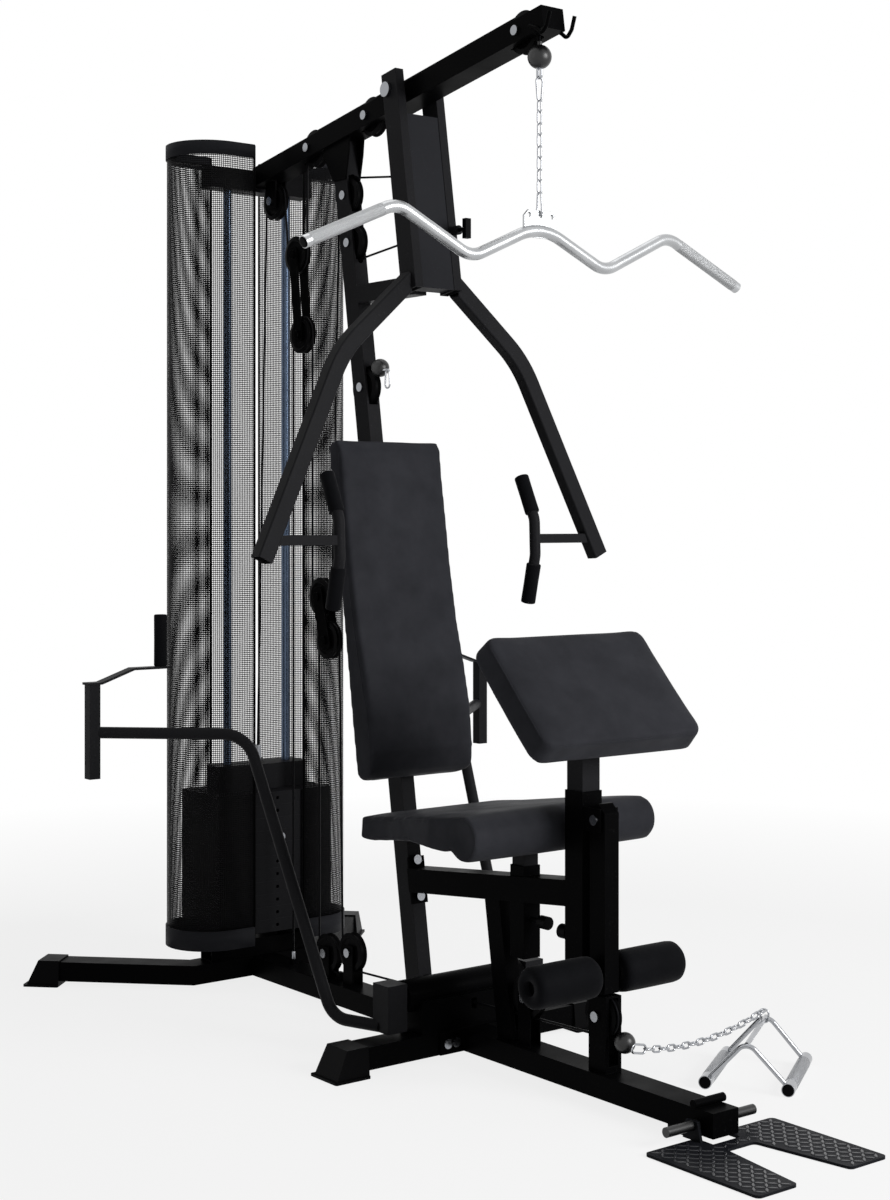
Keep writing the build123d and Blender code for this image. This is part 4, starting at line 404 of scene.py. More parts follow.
def soft_cover(name, tint, rough, scale, creases, depth, sheen):
    """Vinyl or skinned foam with a pebbled grain."""
    made, tree, shader = start_material(name)
    grain = effect(tree, "vinyl_grain", Scale=scale, Creases=creases)
    tree.links.new(mix_colour(tree, remap(tree, grain["Tone"], 0.3, 0.7), tuple(c * 0.82 for c in tint),
                              tuple(c * 1.15 for c in tint)), shader.inputs["Base Color"])
    tree.links.new(remap(tree, grain["Tone"], 0.3, 0.7, rough + 0.05, rough - 0.05), shader.inputs["Roughness"])
    shader.inputs["IOR"].default_value = 1.08
    shader.inputs["Sheen Weight"].default_value = sheen
    shader.inputs["Sheen Roughness"].default_value = 0.45
    bump(tree, shader, grain["Height"], 0.7, depth)
    return made


def perforated(name, tint):
    """Coated sheet with holes through it."""
    made, tree, shader = start_material(name)
    coat = effect(tree, "powder_coat", Grain_Scale=500.0, Speck_Amount=0.2)
    holes = effect(tree, "perforation", Pitch=sizes().mesh_pitch, Hole_Radius=sizes().mesh_hole)
    tree.links.new(mix_colour(tree, coat["Sheen"], tuple(c * 0.8 for c in tint), tuple(c * 1.3 for c in tint)),
                   shader.inputs["Base Color"])
    tree.links.new(remap(tree, coat["Sheen"], 0.3, 0.7, 0.4, 0.52), shader.inputs["Roughness"])
    tree.links.new(holes["Sheet"], shader.inputs["Alpha"])
    shader.inputs["IOR"].default_value = 1.12
    return made


def knurled(name, tint, rough):
    """Metal with crossed grooves, darker in the grooves as painted shade."""
    made, tree, shader = start_material(name)
    knurl = effect(tree, "knurling", Pitch=sizes().knurl_pitch)
    # the grooves get a darker colour: painted shade in the recesses
    tree.links.new(mix_colour(tree, knurl["Height"], tuple(c * 0.55 for c in tint), tuple(tint)),
                   shader.inputs["Base Color"])
    tree.links.new(remap(tree, knurl["Height"], 0.0, 1.0, rough + 0.15, rough), shader.inputs["Roughness"])
    shader.inputs["Metallic"].default_value = 1.0
    bump(tree, shader, knurl["Height"], 0.8, 0.0003)
    return made


def ball_and_chain(name, middle, reach, plate=None, counted=(1.0, 1.0, 1.0)):
    """Black coating within reach of a point, along the axes that are counted, and plated metal beyond it."""
    made, tree, shader = start_material(name)
    where = place(tree, "TexCoord").outputs["Object"]
    offset = place(tree, "VectorMath", {0: where, 1: middle}, operation="SUBTRACT").outputs[0]
    offset = place(tree, "VectorMath", {0: offset, 1: counted}, operation="MULTIPLY").outputs[0]
    offset = place(tree, "VectorMath", {0: offset}, operation="LENGTH")
    ball = math_node(tree, "LESS_THAN", offset.outputs["Value"], reach)
    scratches = noise(tree, where, 300.0, 4.0)
    tree.links.new(mix_colour(tree, ball, tuple(plate or colours().chrome), tuple(colours().plastic)),
                   shader.inputs["Base Color"])
    tree.links.new(math_node(tree, "SUBTRACT", 1.0, ball), shader.inputs["Metallic"])
    rough = math_node(tree, "ADD", math_node(tree, "MULTIPLY", ball, 0.18),
                      remap(tree, scratches, 0.3, 0.7, 0.13, 0.24))
    tree.links.new(rough, shader.inputs["Roughness"])
    bump(tree, shader, scratches, 0.3, 0.00003)
    return made


def material(name):
    """The finish of that name, made when it is first asked for."""
    made = bpy.data.materials.get("gym_" + name)
    if made:
        return made
    tint = colours()
    lat, low, waist = [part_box(node) for node in ("lat_chain", "low_chain", "crunch_link")]
    lat_ball = (0.0, (lat[0].y + lat[1].y) / 2, lat[1].z - BALL_RADIUS)
    low_ball = (0.0, pulley("low")[0] - LOW_BALL_AHEAD, low[1].z - BALL_RADIUS)
    waist_ball = (0.0, waist[1].y - BALL_RADIUS, waist[1].z - BALL_RADIUS)
    makers = {
        "black_paint": lambda: coated(name, tint.paint, 0.38, gloss=1.06),
        "satin_paint": lambda: coated(name, tint.satin_paint, 0.42, specks=0.3, wear_and_highlight=0.2),
        "panel_paint": lambda: coated(name, tint.panel, 0.5, specks=0.2, grain=420.0, wear_and_highlight=0.1),
        # weight plates: strongly lightened edges, partly wear and partly a painted highlight along the plate edges
        "plate_coat": lambda: coated(name, tint.casting, 0.5, specks=0.3, grain=320.0, peel=0.00018, wear_and_highlight=0.9),
        "moulded_plastic": lambda: coated(name, tint.plastic, 0.42, specks=0.0, grain=900.0, wear_and_highlight=0.2, edge=0.001),
        "rubber": lambda: coated(name, tint.plastic, 0.7, specks=0.0, grain=600.0, wear_and_highlight=0.1),
        "tread_coat": lambda: coated(name, tint.tread, 0.4, specks=0.2, wear_and_highlight=0.5, edge=0.001),
        # tread marks: a lighter colour and fully lightened edges paint the highlights on their shiny tops and outlines
        "tread_marks": lambda: coated(name, tuple(c * 1.6 for c in tint.tread), 0.25, specks=0.2, wear_and_highlight=1.0,
                                      edge=0.0008, gloss=1.5),
        "cable_sheath": lambda: coated(name, tint.sheath, 0.3, specks=0.0, grain=900.0, wear_and_highlight=0.0, edge=0.0002,
                                       peel=0.00002),
        "mesh_coat": lambda: perforated(name, tint.mesh),
        "vinyl": lambda: soft_cover(name, tint.vinyl, 0.5, 900.0, 0.5, 0.0004, 0.03),
        "foam": lambda: soft_cover(name, tint.foam, 0.62, 1300.0, 0.25, 0.0003, 0.03),
        "chrome": lambda: metal(name, tint.chrome, 0.14),
        "satin_steel": lambda: metal(name, tint.satin, 0.27),
        "zinc": lambda: metal(name, tint.zinc, 0.3),
        "bolts": lambda: ball_and_chain(name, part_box("frame_bolts")[0], 0.05, tint.zinc, (0.0, 1.0, 0.0)),
        "rod_steel": lambda: metal(name, tint.rods, 0.28, grain=500.0),
        "knurled_steel": lambda: knurled(name, tint.satin, 0.32),
        "knurled_chrome": lambda: knurled(name, tint.chrome, 0.25),
        "lat_ball_chain": lambda: ball_and_chain(name, lat_ball, BALL_RADIUS + LAT_EYE),
        "low_ball_chain": lambda: ball_and_chain(name, low_ball, BALL_RADIUS + BALL_FIT),
        "waist_ball_link": lambda: ball_and_chain(name, waist_ball, BALL_RADIUS + BALL_FIT),
    }
    return makers[name]()


CAD_FINISHES = {
    "black_paint": ["front_base_beam", "rear_base_frame", "mid_stabiliser", "top_beam", "seat_beam", "leg_lever",
                    "pulley_blocks"],
    "satin_paint": ["upright", "press_frame", "press_arms", "tower_crossbar", "seat_post", "curl_post",
                    "stack_carrier", "rear_arm_left", "rear_arm_right"],
    "panel_paint": ["press_cover"],
    "plate_coat": ["resting_plates", "lifted_plates"],
    "rubber": ["rubber_bumpers"],
    "zinc": ["selector_rod", "selector_pin"],
    "bolts": ["frame_bolts"],
    "rod_steel": ["guide_rods"],
    "satin_steel": ["lat_bar"],
    "chrome": ["row_handle"],
    "tread_coat": ["foot_plate"],
    "lat_ball_chain": ["lat_chain"],
    "low_ball_chain": ["low_chain"],
    "waist_ball_link": ["crunch_link"],
    "moulded_plastic": ["feet", "seat_knob", "curl_knob", "press_lock_knob"]
    + [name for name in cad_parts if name.endswith("_pulley")],
}


# ---------------------------------------------------------------- mesh building
def finished(shape, name, finish, body=None, smooth=True):
    """Turns a bmesh into a piece with its finish, riding on a body."""
    mesh = bpy.data.meshes.new(name)
    shape.to_mesh(mesh)
    shape.free()
    return settled(mesh, name, finish, body, smooth)


def settled(mesh, name, finish, body=None, smooth=True):
    """Puts a mesh into the scene as a piece with its finish, riding on a body."""
    piece = bpy.data.objects.new(name, mesh)
    bpy.context.scene.collection.objects.link(piece)
    mesh.materials.clear()
    mesh.materials.append(material(finish))
    for face in mesh.polygons:
        face.use_smooth = smooth
    if body:
        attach(piece, body)
    return piece


def merged(node):
    """A copy of a CAD node's mesh with its doubles merged."""
    shape = bmesh.new()
    shape.from_mesh(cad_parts[node].data)
    bmesh.ops.remove_doubles(shape, verts=shape.verts, dist=1e-5)
    bmesh.ops.recalc_face_normals(shape, faces=shape.faces)
    return shape


def solids(node):
    """Middle, long axis and half length of each separate solid of a CAD node, from left to right."""
    shape = merged(node)
    found, seen = [], set()
    for start in shape.verts:
        if start in seen:
            continue
        seen.add(start)
        island, queue = [], [start]
        while queue:
            vert = queue.pop()
            island.append(vert.co.copy())
            for edge in vert.link_edges:
                other = edge.other_vert(vert)
                if other not in seen:
                    seen.add(other)
                    queue.append(other)
        points = np.array(island)
        middle = (points.min(0) + points.max(0)) / 2
        spread = np.linalg.svd(points - points.mean(0), full_matrices=False)[2][0]
        reach = (points - middle) @ spread
        found.append((Vector(middle), Vector(spread), (reach.max() - reach.min()) / 2))
    shape.free()
    return sorted(found, key=lambda solid: (round(solid[0].x, 3), round(solid[0].z, 3)))


def turned(profile, middle, axis, steps=40):
    """A body of revolution about an axis: the profile is pairs of place along it and radius."""
    shape = bmesh.new()
    line = [shape.verts.new((radius, 0.0, along)) for along, radius in profile]
    edges = [shape.edges.new(pair) for pair in zip(line, line[1:])]
    bmesh.ops.spin(shape, geom=line + edges, cent=(0, 0, 0), axis=(0, 0, 1), angle=2 * math.pi, steps=steps,
                   use_merge=True)
    bmesh.ops.remove_doubles(shape, verts=shape.verts, dist=1e-6)
    unroll(shape)
    bmesh.ops.recalc_face_normals(shape, faces=shape.faces)
    turn = Vector((0, 0, 1)).rotation_difference(Vector(axis)).to_matrix().to_4x4()
    bmesh.ops.transform(shape, matrix=Matrix.Translation(Vector(middle)) @ turn, verts=shape.verts)
    return shape


def unroll(shape):
    """Gives a body of revolution about Z a UV map in metres: round it, and along it."""
    layer = shape.loops.layers.uv.new("sheet")
    for face in shape.faces:
        radius = max(math.hypot(v.co.x, v.co.y) for v in face.verts)
        centre = face.calc_center_median()
        facing = math.atan2(centre.y, centre.x)
        for loop in face.loops:
            angle = math.atan2(loop.vert.co.y, loop.vert.co.x)
            angle = facing + (angle - facing + math.pi) % (2 * math.pi) - math.pi
            loop[layer].uv = (angle * radius, loop.vert.co.z)


def joined(shapes):
    """Several bmeshes as one."""
    whole = shapes[0]
    for extra in shapes[1:]:
        mesh = bpy.data.meshes.new("part")
        extra.to_mesh(mesh)
        extra.free()
        whole.from_mesh(mesh)
        bpy.data.meshes.remove(mesh)
    return whole


def tube_mesh(points, radius, name, closed=False, sides=6):
    """A round tube along a line of points."""
    curve = bpy.data.curves.new(name, "CURVE")
    curve.dimensions = "3D"
    curve.bevel_depth = radius
    curve.bevel_resolution = sides
    curve.use_fill_caps = not closed
    spline = curve.splines.new("POLY")
    spline.points.add(len(points) - 1)
    for point, place_at in zip(spline.points, points):
        point.co = (*place_at, 1.0)
    spline.use_cyclic_u = closed
    holder = bpy.data.objects.new(name, curve)
    bpy.context.scene.collection.objects.link(holder)
    mesh = bpy.data.meshes.new_from_object(holder.evaluated_get(bpy.context.evaluated_depsgraph_get()))
    bpy.data.objects.remove(holder)
    bpy.data.curves.remove(curve)
    shape = bmesh.new()
    shape.from_mesh(mesh)
    bpy.data.meshes.remove(mesh)
    bmesh.ops.remove_doubles(shape, verts=shape.verts, dist=1e-6)
    bmesh.ops.recalc_face_normals(shape, faces=shape.faces)
    return shape


# ---------------------------------------------------------------- cushions
def swollen(node, name, body, board, corner):
    """A cushion: the pad's form with rounded corners, remeshed and swollen by a cloth simulation under pressure.

    board is the way to the board that the pad rests on, where it stays flat.
    """
    board = Vector(board).normalized()
    shape = merged(node)
    bmesh.ops.dissolve_limit(shape, angle_limit=math.radians(2), verts=shape.verts, edges=shape.edges)
    sharp = []
    for edge in shape.edges:
        run = edge.verts[1].co - edge.verts[0].co
        if len(edge.link_faces) == 2 and edge.calc_face_angle(0.0) > 0.9 and run.length > 0.02:
            if abs(run.normalized().dot(board)) > 0.97:
                sharp.append(edge)
    bmesh.ops.bevel(shape, geom=sharp, offset=corner, segments=6, profile=0.5, affect="EDGES", material=-1)
    bmesh.ops.triangulate(shape, faces=shape.faces)
    mesh = bpy.data.meshes.new(name)
    shape.to_mesh(mesh)
    shape.free()
    piece = settled(mesh, name, "vinyl")
    remesh = piece.modifiers.new("Remesh", "REMESH")
    remesh.mode = "VOXEL"
    remesh.voxel_size = sizes().cushion_voxel
    apply_modifiers(piece)
    shape = bmesh.new()
    shape.from_mesh(piece.data)
    shape.normal_update()
    for vert in shape.verts:
        vert.co -= vert.normal * sizes().cushion_inset * (1.0 - max(0.0, vert.normal.dot(board)))
    for _ in range(CUSHION_SMOOTHING):
        bmesh.ops.smooth_vert(shape, verts=shape.verts, factor=0.5, use_axis_x=True, use_axis_y=True, use_axis_z=True)
    shape.to_mesh(piece.data)
    shape.free()
    inflate(piece, board)
    subdivide = piece.modifiers.new("Subdivision", "SUBSURF")
    subdivide.levels = subdivide.render_levels = 1
    apply_modifiers(piece)
    for face in piece.data.polygons:
        face.use_smooth = True
    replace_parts(piece, node)
    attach(piece, body)
    return piece


def apply_modifiers(piece):
    """Bakes a piece's modifiers into its mesh."""
    bpy.context.view_layer.update()
    baked = bpy.data.meshes.new_from_object(piece.evaluated_get(bpy.context.evaluated_depsgraph_get()))
    old = piece.data
    piece.modifiers.clear()
    piece.data = baked
    baked.name = piece.name
    bpy.data.meshes.remove(old)


def inflate(piece, board):
    """Blows a closed form up with the cloth solver, and caps how far a point may go."""
    scene = bpy.context.scene
    before = np.array([v.co for v in piece.data.vertices])
    pinned = piece.vertex_groups.new(name="board")
    pinned.add([v.index for v in piece.data.vertices if v.normal.dot(board) > 0.9], 1.0, "REPLACE")
    cloth = piece.modifiers.new("Cloth", "CLOTH")
    cloth.settings.use_pressure = True
    cloth.settings.uniform_pressure_force = 4.0
    cloth.settings.effector_weights.gravity = 0.0
    cloth.settings.vertex_group_mass = "board"
    cloth.settings.quality = 5
    cloth.point_cache.frame_start, cloth.point_cache.frame_end = 1, 20
    for step in range(1, 21):
        scene.frame_set(step)
    baked = piece.evaluated_get(bpy.context.evaluated_depsgraph_get()).to_mesh()
    after = np.array([v.co for v in baked.vertices])
    piece.modifiers.clear()
    piece.vertex_groups.clear()
    scene.frame_set(1)
    moved = after - before
    reach = np.linalg.norm(moved, axis=1, keepdims=True)
    moved *= np.minimum(1.0, sizes().cushion_swell / np.maximum(reach, 1e-9))
    moved = evened(piece.data, moved, SWELL_SMOOTHING)
    piece.data.vertices.foreach_set("co", (before + moved).astype(np.float32).ravel())
    piece.data.update()


def evened(mesh, moved, rounds):
    """Movements of a mesh's points, each averaged with its neighbours' a number of times."""
    ends = np.empty(len(mesh.edges) * 2, dtype=np.int64)
    mesh.edges.foreach_get("vertices", ends)
    first, second = ends[0::2], ends[1::2]
    count = np.bincount(ends, minlength=len(moved)).reshape(-1, 1)
    for _ in range(rounds):
        total = np.zeros_like(moved)
        np.add.at(total, first, moved[second])
        np.add.at(total, second, moved[first])
        moved = 0.4 * moved + 0.6 * total / np.maximum(count, 1)
    return moved


def welt(piece, points, name, body, sink=0.3):
    """Piping laid on a cushion along a closed line of points, pressed a little into it."""
    tree = BVHTree.FromPolygons([v.co for v in piece.data.vertices], [p.vertices for p in piece.data.polygons])
    laid = []
    for point in points:
        near, normal, _, _ = tree.find_nearest(Vector(point))
        laid.append(near - normal * sizes().welt_radius * sink)
    for _ in range(3):
        laid = [(laid[i - 1] + laid[i] * 2 + laid[(i + 1) % len(laid)]) / 4 for i in range(len(laid))]
    shape = tube_mesh(laid, sizes().welt_radius, name, closed=True, sides=2)
    made = finished(shape, name, "vinyl", body)
    return made


def rounded_outline(half_x, half_y, corner, step=0.006):
    """Points of a rounded rectangle about the origin, evenly spaced."""
    line = []
    for index, (cx, cy) in enumerate(((1, 1), (-1, 1), (-1, -1), (1, -1))):
        for turn in range(7):
            angle = math.pi / 2 * (index + turn / 6)
            line.append(Vector((cx * (half_x - corner) + corner * math.cos(angle),
                                cy * (half_y - corner) + corner * math.sin(angle))))
    return even(line, step)


def even(line, step):
    """A closed line resampled at even distances."""
    line = [Vector(point) for point in line]
    reach = [0.0]
    for a, b in zip(line, line[1:] + line[:1]):
        reach.append(reach[-1] + (b - a).length)
    count = int(reach[-1] / step)
    made, index = [], 0
    for number in range(count):
        target = reach[-1] * number / count
        while reach[index + 1] < target:
            index += 1
        share = (target - reach[index]) / max(reach[index + 1] - reach[index], 1e-9)
        made.append(line[index].lerp(line[(index + 1) % len(line)], share))
    return made


def cut_outline(piece, point, normal):
    """The longest closed line in which a plane cuts a piece."""
    shape = bmesh.new()
    shape.from_mesh(piece.data)
    cut = bmesh.ops.bisect_plane(shape, geom=shape.verts[:] + shape.edges[:] + shape.faces[:], plane_co=point,
                                 plane_no=normal)["geom_cut"]
    edges = {e for e in cut if isinstance(e, bmesh.types.BMEdge)}
    loops = []
    while edges:
        edge = edges.pop()
        line = [edge.verts[0], edge.verts[1]]
        while True:
            onward = [e for e in line[-1].link_edges if e in edges]
            if not onward:
                break
            edges.discard(onward[0])
            line.append(onward[0].other_vert(line[-1]))
        loops.append([v.co.copy() for v in line])
    shape.free()
    return max(loops, key=len)


class GYM_OT_cushions(bpy.types.Operator):
    """Makes the seat, back and curl cushions with their piping"""

    bl_idname = "gym.cushions"
    bl_label = "Cushions"

    def execute(self, context):
        low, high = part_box("seat_pad")
        seat = swollen("seat_pad", "seat_cushion", "seat", (0, 0, -1), 0.018)
        for side, name in ((-1, "seat_welt_left"), (1, "seat_welt_right")):
            line = cut_outline(seat, (side * (high.x - 0.055), 0, 0), (1, 0, 0))
            welt(seat, [Vector((side * high.x, p.y, p.z)) for p in even(line, 0.006)], name, "seat")

        low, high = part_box("back_pad")
        board = (0, math.cos(UPRIGHT_LEAN), -math.sin(UPRIGHT_LEAN))
        back = swollen("back_pad", "back_cushion", "frame", board, BACK_CORNER)
        half, middle_z = (high.z - low.z) / 2, (high.z + low.z) / 2
        tree = BVHTree.FromPolygons([v.co for v in back.data.vertices], [p.vertices for p in back.data.polygons])
        line = []
        for point in rounded_outline(high.x - 0.007, half - 0.007, BACK_CORNER):
            hit = tree.ray_cast(Vector((point.x, -1.0, middle_z + point.y)), Vector((0, 1, 0)))[0]
            if hit:
                line.append(hit)
        welt(back, line, "back_welt", "frame")

        low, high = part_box("curl_pad")
        up = Vector((0, -math.sin(CURL_TILT), math.cos(CURL_TILT)))
        along = Vector((0, math.cos(CURL_TILT), math.sin(CURL_TILT)))
        middle = (low + high) / 2
        points = [v.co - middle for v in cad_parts["curl_pad"].data.vertices]
        reach, half = max(p.dot(up) for p in points), max(p.dot(along) for p in points)
        curl = swollen("curl_pad", "curl_cushion", "curl_pad", -up, CURL_CORNER)
        line = [middle + Vector((p.x, 0, 0)) + along * p.y + up * (reach - 0.004)
                for p in rounded_outline(high.x - 0.003, half - 0.003, 0.028)]
        welt(curl, line, "curl_welt", "curl_pad")
        return {"FINISHED"}


class GYM_OT_rollers(bpy.types.Operator):
    """Makes the two foam rollers of the leg lever"""

    bl_idname = "gym.rollers"
    bl_label = "Foam rollers"

    def execute(self, context):
        shapes = []
        for middle, _, _ in solids("foam_rollers"):
            side = 1 if middle.x > 0 else -1
            low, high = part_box("foam_rollers")
            inner, outer, radius = 0.030, high.x, (high.z - low.z) / 2
            half = (outer - inner) / 2
            profile = [(-half + 0.001, 0.0143), (-half + 0.001, radius - 0.012), (-half + 0.003, radius - 0.0055),
                       (-half + 0.008, radius - 0.0015), (-half + 0.018, radius - 0.0003), (0.0, radius)]
            profile = profile + [(-along, r) for along, r in reversed(profile[:-1])]
            profile.append(profile[0])
            shapes.append(turned(profile, (side * (inner + outer) / 2, middle.y, middle.z), (side, 0, 0), 56))
        piece = finished(joined(shapes), "foam_roller_sleeves", "foam", "foam_rollers")
        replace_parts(piece, "foam_rollers")
        return {"FINISHED"}


class GYM_OT_grips(bpy.types.Operator):
    """Makes the foam grips of the press arms and of the rear arms"""

    bl_idname = "gym.grips"
    bl_label = "Foam grips"

    def execute(self, context):
        for node, body in (("press_grips", "press_frame"), ("rear_grip_left", "rear_arm_left"),
                           ("rear_grip_right", "rear_arm_right")):
            shapes = []
            radius = 0.016 if node == "press_grips" else 0.0145
            bore = 0.0123 if node == "press_grips" else 0.0102
            for middle, axis, half in solids(node):
                profile = [(-half, bore), (-half, radius - 0.0025), (-half + 0.0008, radius - 0.0008),
                           (-half + 0.003, radius), (0.0, radius - 0.0003), (half - 0.003, radius),
                           (half - 0.0008, radius - 0.0008), (half, radius - 0.0025), (half, bore)]
                profile.append(profile[0])
                shapes.append(turned(profile, middle, axis))
            piece = finished(joined(shapes), node + "_foam", "foam", body)
            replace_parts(piece, node)
        return {"FINISHED"}


# ---------------------------------------------------------------- shrouds
def shroud_wall(node, outset, low_z, high_z):
    """A C of sheet round one half of the tower, with a UV map in metres."""
    low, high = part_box(node)
    side = 1 if high.x + low.x > 0 else -1
    middle_y = (low.y + high.y) / 2
    full = (high.y - low.y) / 2 - SHEET_INSET
    radius = full + outset
    opening = min(abs(low.x), abs(high.x))
    shift = max(abs(low.x), abs(high.x)) - SHEET_INSET - full
    shape = bmesh.new()
    ends = [shape.verts.new((side * opening, middle_y - radius, z)) for z in (low_z, high_z)]
    edge = shape.edges.new(ends)

    def push(edge, x):
        grown = bmesh.ops.extrude_edge_only(shape, edges=[edge])["geom"]
        verts = [v for v in grown if isinstance(v, bmesh.types.BMVert)]
        bmesh.ops.translate(shape, verts=verts, vec=(x, 0, 0))
        return next(e for e in shape.edges if e.verts[0] in verts and e.verts[1] in verts)

    edge = push(edge, side * (shift - opening))
    swept = bmesh.ops.spin(shape, geom=list(edge.verts) + [edge], cent=(side * shift, middle_y, 0),
                           axis=(0, 0, side), angle=math.pi, steps=32)["geom_last"]
    edge = next(e for e in swept if isinstance(e, bmesh.types.BMEdge))
    push(edge, -side * (shift - opening))
    bmesh.ops.remove_doubles(shape, verts=shape.verts, dist=1e-6)
    layer = shape.loops.layers.uv.new("sheet")
    for face in shape.faces:
        behind = face.calc_center_median().y > middle_y
        for loop in face.loops:
            x, y = abs(loop.vert.co.x) - shift, loop.vert.co.y - middle_y
            if x > 1e-6:
                along = shift - opening + radius * math.atan2(x, -y)
            else:
                along = shift - opening + (math.pi * radius - x if behind else x)
            loop[layer].uv = (along, loop.vert.co.z)
        centre = face.calc_center_median()
        if face.normal.dot(Vector((centre.x - side * shift * 0.9, centre.y - middle_y, 0))) < 0:
            face.normal_flip()
    return shape, side


def thicken(piece, thickness):
    """Gives a sheet its thickness, inwards."""
    wall = piece.modifiers.new("Thickness", "SOLIDIFY")
    wall.thickness = thickness
    wall.offset = -1.0
    wall.use_even_offset = True


class GYM_OT_shrouds(bpy.types.Operator):
    """Makes the perforated shroud halves with their bands and rolled edges"""

    bl_idname = "gym.shrouds"
    bl_label = "Mesh shrouds"

    def execute(self, context):
        for node in ("shroud_left", "shroud_right"):
            low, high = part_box(node)
            shape, side = shroud_wall(node, 0.0, low.z + BOTTOM_BAND - BAND_LAP, high.z - TOP_BAND + BAND_LAP)
            sheet = finished(shape, node + "_mesh", "mesh_coat", "frame")
            thicken(sheet, sizes().sheet_thickness)
            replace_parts(sheet, node)
            bands = [shroud_wall(node, BAND_OUTSET, start, end)[0]
                     for start, end in ((low.z, low.z + BOTTOM_BAND), (high.z - TOP_BAND, high.z))]
            trim = finished(joined(bands), node + "_bands", "panel_paint", "frame")
            thicken(trim, BAND_THICKNESS)
            middle_y, reach = (low.y + high.y) / 2, (high.y - low.y) / 2 - SHEET_INSET
            opening = side * min(abs(low.x), abs(high.x))
            ends = (low.z + HEM_INSET, high.z - HEM_INSET)
            hems = [tube_mesh([(opening, middle_y + front * reach, z) for z in ends], HEM_RADIUS, "hem", sides=2)
                    for front in (-1, 1)]
            finished(joined(hems), node + "_hems", "black_paint", "frame")
        return {"FINISHED"}


# ---------------------------------------------------------------- cables
def pulley(name):
    """Centre of a pulley as (y, z)."""
    low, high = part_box(name + "_pulley")
    return ((low.y + high.y) / 2, (low.z + high.z) / 2)


def tangents(stops):
    """Points where a tight cable meets and leaves each stop (y, z, turn) in the YZ plane."""
    run = sizes().cable_run
    meets = [[stop[:2]] if stop[2] == 0 else [] for stop in stops]
    for (index, (y1, z1, s1)), (y2, z2, s2) in zip(enumerate(stops), stops[1:]):
        span = math.hypot(y2 - y1, z2 - z1)
        heading = math.atan2(z2 - z1, y2 - y1) - math.asin((s2 - s1) * run / span)
        left = (-math.sin(heading) * run, math.cos(heading) * run)
        if s1:
            meets[index].append((y1 - s1 * left[0], z1 - s1 * left[1]))
        if s2:
            meets[index + 1].append((y2 - s2 * left[0], z2 - s2 * left[1]))
    return meets


def held_run(stops, first=True, last=True):
    """Points of a tight cable over its stops, with or without its first and last straight runs."""
    meets = tangents(stops)
    points = [(0, *meets[0][0])] if first else []
    for (y, z, turn), pair in zip(stops[1:-1], meets[1:-1]):
        start, end = [math.atan2(pz - z, py - y) for py, pz in pair]
        swept = (turn * (end - start)) % (2 * math.pi)
        count = max(2, int(swept / 0.14))
        for step in range(count + 1):
            angle = start + turn * swept * step / count
            points.append((0, y + sizes().cable_run * math.cos(angle), z + sizes().cable_run * math.sin(angle)))
    if last:
        points.append((0, *meets[-1][0]))
    return points


def strand(name, start, end):
    """A straight cable between two points."""
    start, end = Vector((0, *start)), Vector((0, *end))
    points = [start.lerp(end, step / 12) for step in range(13)]
    piece = finished(tube_mesh(points, sizes().cable_radius, name, sides=3), name, "cable_sheath", None)
    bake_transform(piece)
    return piece


